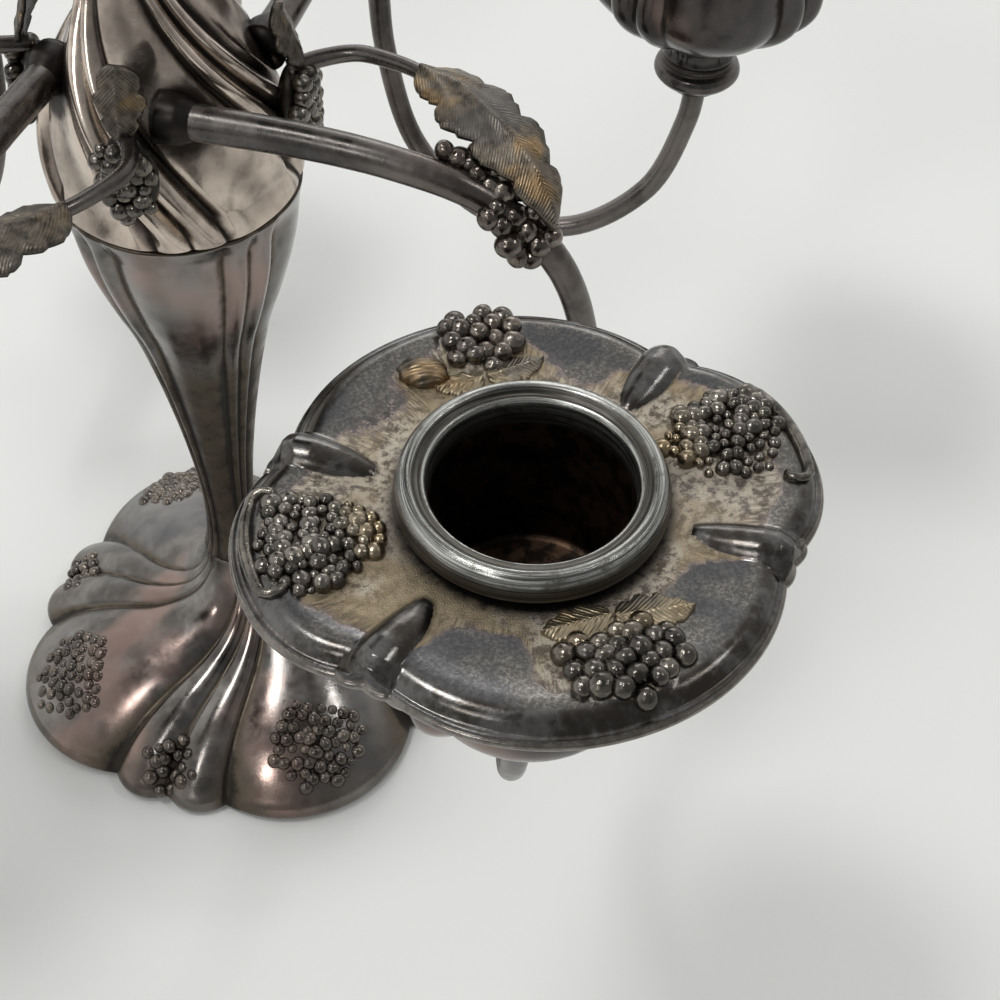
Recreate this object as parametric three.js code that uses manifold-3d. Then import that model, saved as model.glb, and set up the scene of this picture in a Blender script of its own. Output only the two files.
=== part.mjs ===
// Five-light candelabrum with grape-and-vine ornament, in silver plate.
// Millimetres, +Z up. The origin is the centre of the foot, on the table.
// The outer lights stand at azimuths -90, 0, 90 and 180 degrees, and the fifth over the column.
// Heights of lights, arms, column and dome are counted from the widest level of the outer cups.
import * as THREE from 'three';
import { mergeVertices } from 'three/addons/utils/BufferGeometryUtils.js';
import Module from 'manifold-3d';

const wasm = await Module();
wasm.setup();

// Overall places
const cupHeight = 120;          // table to the widest level of an outer cup
const centreRise = 84;          // widest level of an outer cup to that of the centre cup
const armReach = 95.4;          // column axis to the axis of an outer cup
const outerLights = 4;
const firstLightAzimuth = -90;

// Fits
const seatGap = 0.3;            // between a piece and what it rests on or is soldered to
const slipGap = 0.35;           // around a piece that lifts out

// Candle nozzle
const boreDiameter = 22.2;      // takes a standard dinner candle
const boreDepth = 23.5;
const nozzleWall = 1.1;
const nozzleFloor = 1.2;
const rimWidth = 3.3;           // from the bore to the edge of the rolled rim
const rimThickness = 3.6;
const rimRound = 0.9;
const rimAboveCup = 21;
const boreFlare = 0.6;
const skirtWidth = 4.1;         // from the bore to the edge of the skirt on the pan

// Drip pan, with two narrow and two wide lobes between four ridges
const panGroundAboveCup = 16.2;
const panGroundRise = 0.3;      // of the matted ground, from the hole to the border
const panBorderRise = 1.2;
const panEdgeDrop = 3.0;
const panSheet = 1.3;
const panBorderWidth = 6.2;
const panCrestWidth = 2.8;      // from the crest of the border to its edge
const narrowLobeRadius = 32.5;
const wideLobeRadius = 30.0;
const lobePower = 2.5;          // how square a lobe's outline is
const lobeCorner = 0.55;        // corner of the outline, a share of the way from its middle to a ridge
const ridgeRadius = 27.6;
const ridgeHalfAngle = 34;      // ridges either side of the long axis
const ridgeWidthAngle = 5;
const ridgeRise = 1.6;
const ridgeLength = 11;
const panAxisAngle = 78;        // long axis from the direction of the arm
const panBunchCircle = 23.4;    // middle of a bunch of grapes to the axis of the pan
const panBunchLength = 10;      // across the pan's lobe
const panBunchWidth = 7;
const panBunchHeight = 2.2;     // above the ground

// Cup under each pan
const cupRadius = 20.6;
const cupGroove = 0.073;        // groove depth as a share of the radius
const cupTurn = -30;            // middle of a wide lobe from the direction of the arm
const cupLipWidth = 3.8;
const cupShoulderRadius = 19.2;
const cupShoulderRise = 6.6;
const cupBellyRadius = 14.6;
const cupBellyDrop = 8.4;
const cupNeckRadius = 5.8;
const cupNeckRise = 2.6;
const cupNeckDrop = 17.2;       // widest level to the foot of the neck
const cupWall = 1.5;
const cupFloor = 3.2;

// Collar between a cup and its arm, and the screw that holds them together
const collarRadius = 7.4;
const collarHeight = 6.4;
const collarTopRadius = 5.8;
const collarFootRadius = 4.6;
const collarBand = [0.45, 0.7]; // foot and top of the widest band, as shares of the height
const screwRadius = 1.6;
const screwHeadRadius = 2.9;
const screwHeadHeight = 1.8;
const screwEngagement = 2.4;
const armEngagement = 2.6;      // rod inside the collar

// Arm rod
const armRootDiameter = 5.2;
const armMiddleDiameter = 3.7;
const armEndDiameter = 3.9;
const armSocketWall = 1.4;
const armSocketLength = 5.6;

// Arm centre line up to the rise under its cup: away from the column, sideways, height
const armLine = [
  [12.6, -5.6, 14.9], [18.8, -0.1, 15.3], [27.6, 7.8, 15.7], [36.8, 16.4, 14.8], [44.3, 24.7, 11.2],
  [50.4, 32.2, 2.6], [53.0, 36.2, -10.5], [54.2, 36.4, -25.0], [57.4, 31.4, -43.4], [66.0, 21.0, -55.2],
  [78.0, 10.1, -56.1], [89.4, 2.8, -46.7], [94.5, 0.3, -32.5],
];

// Vine on each arm: a tendril from the shoulder that carries a leaf, and grapes under the leaf
const tendrilDiameter = 2.6;
const tendrilLine = [
  [11.4, 13.8, 14.8], [12.6, 18.8, 15.6], [14.9, 22.7, 16.3], [19.2, 25.2, 16.9], [24.0, 27.0, 17.4],
  [29.0, 27.7, 17.6],
];
const vineLeafWidth = 12.5;
const vineLeafSheet = 1.0;
const vineLeafLine = [
  [25.0, 27.3, 17.6], [33.5, 28.2, 18.0], [41.0, 28.9, 16.8], [47.5, 29.4, 14.2], [52.5, 29.6, 10.6],
];
const vineGrapeRadius = 2.4;
const vineGrapes = [
  [38.2, 24.9, 14.4], [41.4, 26.3, 14.2], [44.6, 27.5, 13.2], [47.4, 27.6, 11.0], [50.2, 28.4, 8.9],
];

// Shoulder ornament between two arms: a bunch of grapes under a leaf
const shoulderAzimuth = 54;     // from the direction of the arm that the vine lies on
const shoulderRadius = 20.2;
const shoulderGrapeRadius = 3.4;
const shoulderGrapeStep = 5.2;
const shoulderRows = [2, 2, 1];
const shoulderTopRow = 12.2;
const shoulderRowStep = 4.6;
const shoulderLeafSheet = 1.2;
const shoulderLeafWidth = 13;
const shoulderLeafLine = [[19.0, 0, 25.0], [18.9, 0, 21.2], [19.9, 0, 17.5], [20.4, 0, 12.4]];

// Outline and cupping of a leaf, as shares of its width
const leafLeastWidth = 0.25;
const leafCupping = 0.08;
const leafWave = [0.12, 0.96];  // stretch of a half wave that the outline follows

// Column: crest radius and height, from the seat of the branches down to the foot
const columnProfile = [
  [18.4, -5.4], [18.2, -6.8], [17.0, -9.2], [16.7, -14.0], [14.3, -22.0], [11.4, -32.0],
  [7.2, -54.0], [5.2, -65.0], [4.5, -75.0], [4.5, -84.0], [5.2, -89.5],
];
const columnGroove = 0.055;     // groove depth as a share of the radius
const columnTurn = 57;
const columnShoulder = -32;     // below this height the column stretches to reach the foot
const columnRodHoleTop = -70;
const columnHollow = [[5.0, -48], [7.2, -36]];

// Socket in the column that the branches lift out of
const socketBore = 17.2;
const socketDepth = 19;
const socketWall = 1;
const socketFlangeWidth = 6;
const flangeThickness = 1.4;

// Plug, dome and stem of the branches
const plugChamfer = 0.8;
const plugEndClearance = 0.5;
const studRadius = 3;
const studLength = 4;
const domeProfile = [
  [18.2, -5.1], [18.9, -1.5], [18.8, 3.5], [17.6, 9.5], [15.4, 15.5], [12.4, 21.5], [9.2, 27.5],
  [6.8, 33.5], [5.4, 42.0],
];
const domeShoulder = 15.5;      // above this height the dome and stem stretch to reach the centre light
const neckHeight = 44.3;        // from the dome's shoulder to the top of the stem, as drawn
const domeGroove = 0.085;
const domeFootTurn = 27;
const domeTopTurn = -35;
const domeTurnPower = 1.3;
const domeCeiling = 10.7;       // solid above this height
const domeCeilingRadius = 12.6;
const tenonRadius = 2;
const tenonLength = 4.7;
const stemFootProfile = [[4.8, 0], [7.2, 1.3], [7.2, 3.8], [4.6, 5.9]];
const stemTopProfile = [[4.0, -8.1], [5.0, -3.3], [6.8, 0]];

// Foot: four wide lobes with pairs of narrow flutes between them, weighted and lined with felt
const footLobeRadius = 44;
const footGrooveRadius = 38.6;
const footNarrowRadius = 40.6;
const footProfile = [
  [5.3, 30.2], [8.0, 23.6], [12.6, 19.4], [19.5, 16.2], [27.5, 13.2], [34.5, 9.4], [40.5, 5.2],
];
const footShoulder = [43.2, 3.6];
const footRimHeight = 2.4;
const footRimRound = 0.6;
const footLift = 0.5;           // metal rim above the table
const footWall = 1.6;
const footTurn = -4;
const footSwirl = 57;           // turn of the grooves between the rim and the waist
const footSwirlPower = 2.2;
const ballastClearance = 0.6;
const feltThickness = 1.2;
const feltRadius = 36;

// Tie rod from the socket down through the column and the weight, with its washer and nut
const rodDiameter = 4;
const rodHeadDiameter = 8;
const rodHeadThickness = 1.5;
const rodBeyondNut = 1.2;
const nutAcross = 8;
const nutThickness = 3.2;
const washerDiameter = 13;
const washerThickness = 1;
const nutRecessRadius = 8;
const nutRecessDepth = 7;

// Lobing: in each quarter, one wide smooth lobe and two narrow flutes
const quarters = 4;
const wideShare = 0.64;
const wideSteps = 4;
const narrowFlutes = 2;
const narrowSteps = 2;

// Facets round each kind of piece, and steps along the rods and leaves
const facets = { screw: 6, rod: 8, collar: 12, stem: 14, nozzle: 16, fitting: 18, foot: 24, felt: 28 };
const armSteps = 20;
const tendrilSteps = 7;
const vineLeafSteps = 6;
const shoulderLeafSteps = 4;
const cutBeyond = 1;            // how far a cutter runs past the face that it opens

// Worked-out sizes
const degrees = Math.PI / 180;
const tubeRadius = boreDiameter / 2 + nozzleWall;
const nozzleBottom = rimAboveCup - boreDepth - nozzleFloor;
const panHole = tubeRadius + slipGap;
const cupLip = panGroundAboveCup - panSheet - seatGap;
const cupFloorTop = -cupNeckDrop + cupFloor;
const screwHole = screwRadius + seatGap;
const collarTop = -cupNeckDrop - seatGap;
const collarBottom = collarTop - collarHeight;
const armEnd = collarBottom + armEngagement;
const columnSeat = columnProfile[0][1];
const columnFoot = footProfile[0][1] + seatGap - cupHeight;
const columnStretch = (columnShoulder - columnFoot) / (columnShoulder - columnProfile.at(-1)[1]);
const socketOuter = socketBore / 2 + socketWall;
const socketFlangeRadius = socketBore / 2 + socketFlangeWidth;
const socketFloor = columnSeat - socketDepth;
const rodHoleRadius = rodDiameter / 2 + seatGap;
const rodHeadFoot = socketFloor + seatGap;
const domeFoot = domeProfile[0][1];
const footGrooveShare = footGrooveRadius / footLobeRadius;
const stemTop = centreRise + collarBottom - seatGap;
const neckStretch = (stemTop - domeShoulder) / neckHeight;
const ballastFoot = feltThickness + seatGap;
const nutSeat = ballastFoot + nutRecessDepth;
const washerTop = nutSeat - seatGap;
const nutTop = washerTop - washerThickness - seatGap;

const finish = {
  tarnish: { color: 0x5a534c, roughness: 0.34, metalness: 0.9 },
  dark: { color: 0x3a3634, roughness: 0.36, metalness: 0.9 },
  worn: { color: 0xb4b2ad, roughness: 0.26, metalness: 0.95 },
  gilt: { color: 0x8d8068, roughness: 0.45, metalness: 0.85 },
  brass: { color: 0x8f7843, roughness: 0.42, metalness: 0.9 },
  steel: { color: 0x8c8f92, roughness: 0.4, metalness: 0.9 },
  ballast: { color: 0x4a463f, roughness: 0.9, metalness: 0 },
  felt: { color: 0x2e3a33, roughness: 1, metalness: 0 },
};

// Heights in the column and in the neck, after stretching
function columnLevel(z) {
  return z < columnShoulder ? columnShoulder + (z - columnShoulder) * columnStretch : z;
}

function neckLevel(z) {
  return z > domeShoulder ? domeShoulder + (z - domeShoulder) * neckStretch : z;
}

function piece(name, geometry, look) {
  const mesh = new THREE.Mesh(geometry, new THREE.MeshStandardMaterial(look));
  mesh.name = name;
  return mesh;
}

// Solids from shared vertices, joined and cut
function toSolid(geometry) {
  const bare = geometry.clone();
  bare.deleteAttribute('normal');
  bare.deleteAttribute('uv');
  const merged = mergeVertices(bare, 1e-4);
  return new wasm.Manifold(new wasm.Mesh({
    numProp: 3,
    vertProperties: new Float32Array(merged.attributes.position.array),
    triVerts: new Uint32Array(merged.index.array),
  }));
}

function fromSolid(solid) {
  const mesh = solid.getMesh();
  const geometry = new THREE.BufferGeometry();
  geometry.setAttribute('position', new THREE.BufferAttribute(mesh.vertProperties, 3));
  geometry.setIndex(new THREE.BufferAttribute(mesh.triVerts, 1));
  return geometry;
}

function join(geometries) {
  return geometries.map(toSolid).reduce((whole, next) => whole.add(next));
}

function indexedGeometry(positions, index) {
  const geometry = new THREE.BufferGeometry();
  geometry.setAttribute('position', new THREE.Float32BufferAttribute(positions, 3));
  geometry.setIndex(index);
  return geometry;
}

// One closed surface from rings of points: down the outside, then back up the inside
function ringSolid(rings) {
  const count = rings[0].length;
  const index = [];
  rings.forEach((ring, i) => {
    const next = (i + 1) % rings.length;
    for (let j = 0; j < count; j += 1) {
      const k = (j + 1) % count;
      const [a, b, c, d] = [i * count + j, i * count + k, next * count + k, next * count + j];
      index.push(a, c, b, a, d, c);
    }
  });
  return indexedGeometry(rings.flat(2), index);
}

// A solid from rings of points, closed on the axis at both ends
function cappedSolid(rings) {
  const cap = (ring) => ring.map(([, , z]) => [0, 0, z]);
  return toSolid(ringSolid([cap(rings[0]), ...rings, cap(rings.at(-1))]));
}

// A sheet with two faces and an edge, from a function of two shares
function sheetSolid(face, alongSteps, acrossSteps, thickness) {
  const positions = [];
  const index = [];
  const columns = acrossSteps + 1;
  const size = (alongSteps + 1) * columns;
  for (const side of [1, -1]) {
    for (let i = 0; i <= alongSteps; i += 1) {
      for (let j = 0; j <= acrossSteps; j += 1) {
        const { point, normal } = face(i / alongSteps, j / acrossSteps * 2 - 1);
        positions.push(...point.clone().addScaledVector(normal, side * thickness / 2).toArray());
      }
    }
  }
  const at = (i, j, side) => side * size + i * columns + j;
  for (let i = 0; i < alongSteps; i += 1) {
    for (let j = 0; j < acrossSteps; j += 1) {
      const [a, b, c, d] = [at(i, j, 0), at(i, j + 1, 0), at(i + 1, j + 1, 0), at(i + 1, j, 0)];
      index.push(a, c, b, a, d, c, a + size, b + size, c + size, a + size, c + size, d + size);
    }
  }
  const border = [];
  for (let j = 0; j < acrossSteps; j += 1) border.push([0, j]);
  for (let i = 0; i < alongSteps; i += 1) border.push([i, acrossSteps]);
  for (let j = acrossSteps; j > 0; j -= 1) border.push([alongSteps, j]);
  for (let i = alongSteps; i > 0; i -= 1) border.push([i, 0]);
  border.forEach(([i, j], k) => {
    const [m, n] = border[(k + 1) % border.length];
    index.push(at(i, j, 0), at(m, n, 0), at(m, n, 1), at(i, j, 0), at(m, n, 1), at(i, j, 1));
  });
  return indexedGeometry(positions, index);
}

function lathe(points, sides) {
  const geometry = new THREE.LatheGeometry(points.map(([r, z]) => new THREE.Vector2(r, z)), sides);
  return geometry.rotateX(Math.PI / 2);
}

function ringPlate(inner, outer, bottom, thickness, sides) {
  const top = bottom + thickness;
  return lathe([[inner, bottom], [outer, bottom], [outer, top], [inner, top], [inner, bottom]], sides);
}

function ball(radius, x, y, z) {
  return new THREE.IcosahedronGeometry(radius, 0).translate(x, y, z);
}

function curveThrough(points) {
  const vectors = points.map(([x, y, z]) => new THREE.Vector3(x, y, z));
  return new THREE.CatmullRomCurve3(vectors, false, 'centripetal');
}

// A round tube along a curve
function tube(curve, diameter, sides, steps) {
  const corners = Array.from({ length: sides }, (_, j) => {
    const a = j / sides * 2 * Math.PI;
    return new THREE.Vector2(diameter / 2 * Math.cos(a), diameter / 2 * Math.sin(a));
  });
  return new THREE.ExtrudeGeometry(new THREE.Shape(corners), { steps, extrudePath: curve });
}

// A round rod along a curve, closed at both ends, with a diameter that changes along it
function taperedRod(curve, diameterAt, sides, steps) {
  const frames = curve.computeFrenetFrames(steps, false);
  const positions = [];
  for (let i = 0; i <= steps; i += 1) {
    const radius = diameterAt(i / steps) / 2;
    for (let j = 0; j < sides; j += 1) {
      const a = j / sides * 2 * Math.PI;
      const point = curve.getPointAt(i / steps).addScaledVector(frames.normals[i], radius * Math.cos(a));
      positions.push(...point.addScaledVector(frames.binormals[i], radius * Math.sin(a)).toArray());
    }
  }
  const index = [];
  for (let i = 0; i < steps; i += 1) {
    for (let j = 0; j < sides; j += 1) {
      const [a, b] = [i * sides + j, i * sides + (j + 1) % sides];
      index.push(a, b, b + sides, a, b + sides, a + sides);
    }
  }
  for (let j = 1; j < sides - 1; j += 1) {
    index.push(0, j + 1, j);
    index.push(steps * sides, steps * sides + j, steps * sides + j + 1);
  }
  return indexedGeometry(positions, index);
}

// A leaf along a line, with its width at each place and its sides bent back
function leaf(line, width, sheet, steps) {
  const curve = curveThrough(line);
  const across = new THREE.Vector3(0, 1, 0);
  const face = (along, side) => {
    const normal = curve.getTangentAt(along).cross(across).normalize();
    const wave = Math.sin(Math.PI * THREE.MathUtils.lerp(...leafWave, along));
    const half = width / 2 * THREE.MathUtils.lerp(leafLeastWidth, 1, wave);
    const point = curve.getPointAt(along).addScaledVector(across, side * half);
    return { point: point.addScaledVector(normal, -leafCupping * half * side * side), normal };
  };
  return sheetSolid(face, steps, 2, sheet);
}

// Lobed sections
const quarterAngle = 360 / quarters;
const wideAngle = quarterAngle * wideShare;
const narrowAngle = (quarterAngle - wideAngle) / narrowFlutes;

function lobeAngles() {
  const angles = [];
  for (let q = 0; q < quarters; q += 1) {
    const start = q * quarterAngle;
    for (let i = 0; i < wideSteps; i += 1) angles.push(start + wideAngle * i / wideSteps);
    for (let i = 0; i < narrowFlutes * narrowSteps; i += 1) {
      angles.push(start + wideAngle + narrowAngle * i / narrowSteps);
    }
  }
  return angles;
}

// 0 in a groove and 1 on a crest; wide tells which kind of lobe the angle is on
function lobeRise(angle) {
  const inQuarter = angle % quarterAngle;
  if (inQuarter < wideAngle) {
    return { rise: 1 - (2 * inQuarter / wideAngle - 1) ** 2, wide: true };
  }
  const inFlute = (inQuarter - wideAngle) % narrowAngle;
  return { rise: 1 - (2 * inFlute / narrowAngle - 1) ** 2, wide: false };
}

// A ring whose radius depends on the lobe; a turn of 0 puts a wide lobe's middle on +X
function lobedRing(radiusAt, height, turn) {
  return lobeAngles().map((angle) => {
    const r = radiusAt(lobeRise(angle));
    const a = (angle - wideAngle / 2 + turn) * degrees;
    return [r * Math.cos(a), r * Math.sin(a), height];
  });
}

function groovedRing(radius, depth, height, turn) {
  return lobedRing(({ rise }) => radius - depth * (1 - rise), height, turn);
}

// Candle nozzle: rolled rim, skirt on the pan, and a tube with a flat floor
function nozzleGeometry() {
  const bore = boreDiameter / 2;
  const rim = bore + rimWidth;
  const skirt = bore + skirtWidth;
  const skirtFoot = panGroundAboveCup + seatGap;
  const steepestRise = panGroundRise + ridgeHeight(ridgeHalfAngle, panBorderWidth);
  const groundSlope = steepestRise / (ridgeRadius - panBorderWidth - panHole);
  return lathe([
    [0, nozzleBottom], [tubeRadius, nozzleBottom], [tubeRadius, skirtFoot],
    [skirt, skirtFoot + groundSlope * (skirt - panHole)],
    [rim - rimRound, rimAboveCup - rimThickness], [rim, rimAboveCup - rimThickness / 2],
    [rim - rimRound, rimAboveCup - rimRound / 2], [bore + rimWidth / 2, rimAboveCup],
    [bore, rimAboveCup - boreFlare], [bore, nozzleBottom + nozzleFloor], [0, nozzleBottom + nozzleFloor],
  ], facets.nozzle);
}

// Drip pan: the angle is counted from the long axis
function panEdge(angle) {
  const turn = angle % 180;
  const narrow = turn < ridgeHalfAngle || turn > 180 - ridgeHalfAngle;
  const half = narrow ? ridgeHalfAngle : 90 - ridgeHalfAngle;
  const fromMiddle = narrow ? Math.min(turn, 180 - turn) : Math.abs(turn - 90);
  const crest = narrow ? narrowLobeRadius : wideLobeRadius;
  return crest - (crest - ridgeRadius) * (fromMiddle / half) ** lobePower;
}

function panAngles() {
  const ridge = ridgeHalfAngle;
  const next = THREE.MathUtils.lerp(90, ridge, lobeCorner);
  const quarter = [0, lobeCorner * ridge, ridge - ridgeWidthAngle, ridge, ridge + ridgeWidthAngle, next];
  const mirrored = quarter.slice(1).map((a) => 180 - a).reverse();
  const half = [...quarter, 90, ...mirrored];
  return [...half, ...half.map((a) => a + 180)];
}

function ridgeHeight(angle, inside) {
  const turn = angle % 180;
  const away = Math.min(Math.abs(turn - ridgeHalfAngle), Math.abs(turn - 180 + ridgeHalfAngle));
  return away < ridgeWidthAngle / 2 ? ridgeRise * Math.max(0, 1 - (inside / ridgeLength) ** 2) : 0;
}

// Corners of the hole, far enough out that its flats clear the nozzle
function panHoleCorner() {
  const angles = panAngles();
  const widestStep = Math.max(...angles.slice(1).map((angle, i) => angle - angles[i]));
  return panHole / Math.cos(widestStep / 2 * degrees);
}

// Points [radius, height, ridge] of the upper face, from the hole out to the edge
function panSection(angle) {
  const edge = panEdge(angle);
  const flat = edge - panBorderWidth;
  const crest = panGroundAboveCup + panBorderRise;
  return [
    [panHoleCorner(), panGroundAboveCup, 0],
    [flat, panGroundAboveCup + panGroundRise, ridgeHeight(angle, panBorderWidth)],
    [edge - panCrestWidth, crest, ridgeHeight(angle, panCrestWidth)],
    [edge - panCrestWidth / 3, crest - panEdgeDrop / 3, ridgeHeight(angle, panCrestWidth / 3)],
    [edge, crest - panEdgeDrop, 0],
  ];
}

function panRing(index, under) {
  return panAngles().map((angle) => {
    const section = panSection(angle);
    const [radius, height, ridge] = section[index];
    const r = under && index === section.length - 1 ? radius - panSheet : radius;
    const z = under ? height - panSheet : height + ridge;
    const a = (angle + panAxisAngle) * degrees;
    return [r * Math.cos(a), r * Math.sin(a), z];
  });
}

function panGeometry() {
  const sheet = ringSolid([
    ...[0, 1, 2, 3, 4].map((index) => panRing(index, false)),
    ...[4, 2, 0].map((index) => panRing(index, true)),
  ]);
  const bunches = [0, 90, 180, 270].map((middle) => {
    const bunch = new THREE.IcosahedronGeometry(1, 0).scale(panBunchWidth / 2, panBunchLength / 2, panBunchHeight);
    bunch.translate(panBunchCircle, 0, panGroundAboveCup + panGroundRise);
    return bunch.rotateZ((middle + panAxisAngle) * degrees);
  });
  return fromSolid(toSolid(sheet).add(join(bunches)));
}

// Cup: a lobed bowl with a flat lip, a neck, and a floor with the screw's hole
function cupGeometry() {
  const outside = cappedSolid([
    [panHole + cupLipWidth, 0, cupLip], [cupShoulderRadius, cupGroove, cupShoulderRise],
    [cupRadius, cupGroove, 0], [cupBellyRadius, cupGroove, -cupBellyDrop],
    [cupNeckRadius, 0, -cupNeckDrop + cupNeckRise], [cupNeckRadius, 0, -cupNeckDrop],
  ].map(([r, groove, z]) => groovedRing(r, r * groove, z, cupTurn)));
  const hollow = cupRadius * (1 - cupGroove) - cupWall;
  const belly = cupBellyRadius * (1 - cupGroove) - 2 * cupWall;
  const mouth = cupLip + cutBeyond;
  const inside = lathe([
    [0, cupFloorTop], [screwHeadRadius + seatGap, cupFloorTop], [belly, -cupBellyDrop + cupWall], [hollow, 0],
    [panHole, cupLip - cupWall], [panHole, mouth], [0, mouth],
  ], facets.nozzle);
  const [drillFoot, drillTop] = [-cupNeckDrop - cutBeyond, cupFloorTop + cutBeyond];
  const drill = lathe([
    [0, drillFoot], [screwHole, drillFoot], [screwHole, drillTop], [0, drillTop],
  ], facets.rod);
  return fromSolid(outside.subtract(toSolid(inside)).subtract(toSolid(drill)));
}

function collarGeometry() {
  const rodHole = armEndDiameter / 2 + seatGap;
  const screwFloor = collarTop - screwEngagement - seatGap;
  const [bandFoot, bandTop] = collarBand.map((share) => collarBottom + collarHeight * share);
  return lathe([
    [0, armEnd + seatGap], [rodHole, armEnd + seatGap], [rodHole, collarBottom], [collarFootRadius, collarBottom],
    [collarRadius, bandFoot], [collarRadius, bandTop], [collarTopRadius, collarTop], [screwHole, collarTop],
    [screwHole, screwFloor], [0, screwFloor],
  ], facets.collar);
}

function screwGeometry() {
  const headFoot = cupFloorTop + seatGap;
  return lathe([
    [0, collarTop - screwEngagement], [screwRadius, collarTop - screwEngagement], [screwRadius, headFoot],
    [screwHeadRadius, headFoot], [screwHeadRadius, headFoot + screwHeadHeight], [0, headFoot + screwHeadHeight],
  ], facets.screw);
}

// Arm: out of the dome's side, round under its cup, and up into the collar
const armCurve = curveThrough([
  ...armLine, [armReach, 0, (armLine.at(-1)[2] + armEnd) / 2], [armReach, 0, armEnd],
]);

function armDiameter(share) {
  if (share < 0.5) return THREE.MathUtils.lerp(armRootDiameter, armMiddleDiameter, share * 2);
  return THREE.MathUtils.lerp(armMiddleDiameter, armEndDiameter, share * 2 - 1);
}

function armGeometry(clearance = 0) {
  return taperedRod(armCurve, (share) => armDiameter(share) + 2 * clearance, facets.rod, armSteps);
}

// Vine: tendril, leaf and grapes cast in one, clear of the rod that they lie on
function tendrilGeometry(clearance = 0) {
  return tube(curveThrough(tendrilLine), tendrilDiameter + 2 * clearance, facets.screw, tendrilSteps);
}

function vineGeometry() {
  const grapes = vineGrapes.map(([x, y, z]) => ball(vineGrapeRadius, x, y, z));
  const blade = leaf(vineLeafLine, vineLeafWidth, vineLeafSheet, vineLeafSteps);
  const casting = join([blade, tendrilGeometry(), ...grapes]);
  return fromSolid(casting.subtract(toSolid(armGeometry(seatGap))));
}

// Shoulder ornament: hanging grapes under a leaf, against the dome, with a seat for the tendril
function shoulderGeometry() {
  const grapes = [];
  shoulderRows.forEach((count, row) => {
    for (let i = 0; i < count; i += 1) {
      const side = (i - (count - 1) / 2) * shoulderGrapeStep;
      const inward = side * side / (2 * shoulderRadius);
      const height = shoulderTopRow - row * shoulderRowStep;
      grapes.push(ball(shoulderGrapeRadius, shoulderRadius - inward, side, height));
    }
  });
  const blade = leaf(shoulderLeafLine, shoulderLeafWidth, shoulderLeafSheet, shoulderLeafSteps);
  const casting = join([blade, ...grapes]);
  const widest = Math.max(...domeProfile.map(([r]) => r)) + seatGap;
  const dome = new THREE.BoxGeometry(widest, 2 * widest, 2 * widest).translate(widest / 2, 0, 0);
  const tendril = tendrilGeometry(seatGap).rotateZ(-shoulderAzimuth * degrees);
  return fromSolid(casting.subtract(toSolid(dome)).subtract(toSolid(tendril)));
}

// Dome of the branches: lobed shell, solid above, drilled for the arms, the plug and the stem
function domeGeometry() {
  const drawnTop = domeProfile.at(-1)[1];
  const turnAt = (z) => {
    const share = (z - domeFoot) / (drawnTop - domeFoot);
    return THREE.MathUtils.lerp(domeFootTurn, domeTopTurn, share ** domeTurnPower);
  };
  const rings = domeProfile.map(([r, z]) => groovedRing(r, r * domeGroove, neckLevel(z), turnAt(z)));
  const mouth = socketFlangeRadius + seatGap;
  const hole = tenonRadius + seatGap;
  const stud = studRadius + seatGap;
  const studTop = domeCeiling + studLength + seatGap;
  const [cutFoot, cutTop] = [domeFoot - cutBeyond, neckLevel(drawnTop) + cutBeyond];
  const inside = lathe([
    [0, cutFoot], [mouth, cutFoot], [mouth, 0], [domeCeilingRadius, domeCeiling], [stud, domeCeiling],
    [stud, studTop], [hole, studTop], [hole, cutTop], [0, cutTop],
  ], facets.fitting);
  const root = armCurve.getPointAt(0);
  const heading = armCurve.getTangentAt(0);
  const bars = (radius, from, to) => join(Array.from({ length: outerLights }, (_, i) => {
    const bar = new THREE.CylinderGeometry(radius, radius, to - from, facets.rod).rotateX(Math.PI / 2);
    bar.lookAt(heading).translate(...root.clone().addScaledVector(heading, (from + to) / 2).toArray());
    return bar.rotateZ((firstLightAzimuth + i * 360 / outerLights) * degrees);
  }));
  const hollow = armRootDiameter / 2 + seatGap;
  const shell = cappedSolid(rings.reverse()).subtract(toSolid(inside));
  const bosses = bars(hollow + armSocketWall, 0, armSocketLength);
  return fromSolid(shell.add(bosses).subtract(bars(hollow, -seatGap, 2 * armSocketLength)));
}

// Plug of the branches: spigot, flange under the dome and stud into its hub
function plugGeometry() {
  const spigot = socketBore / 2 - slipGap;
  const bottom = rodHeadFoot + rodHeadThickness + plugEndClearance;
  const flangeTop = domeFoot + flangeThickness;
  const studTop = domeCeiling + studLength;
  return lathe([
    [0, bottom], [spigot - plugChamfer, bottom], [spigot, bottom + plugChamfer], [spigot, domeFoot],
    [socketFlangeRadius, domeFoot], [socketFlangeRadius, flangeTop], [studRadius, flangeTop], [studRadius, studTop],
    [0, studTop],
  ], facets.fitting);
}

// Stem between the dome and the centre light
function stemGeometry() {
  const foot = neckLevel(domeProfile.at(-1)[1]) + seatGap;
  const spigot = armEndDiameter / 2;
  return lathe([
    [0, foot - tenonLength], [tenonRadius, foot - tenonLength], [tenonRadius, foot],
    ...stemFootProfile.map(([r, z]) => [r, foot + z * neckStretch]),
    ...stemTopProfile.map(([r, z]) => [r, stemTop + z * neckStretch]),
    [spigot, stemTop], [spigot, centreRise + armEnd], [0, centreRise + armEnd],
  ], facets.stem);
}

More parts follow.
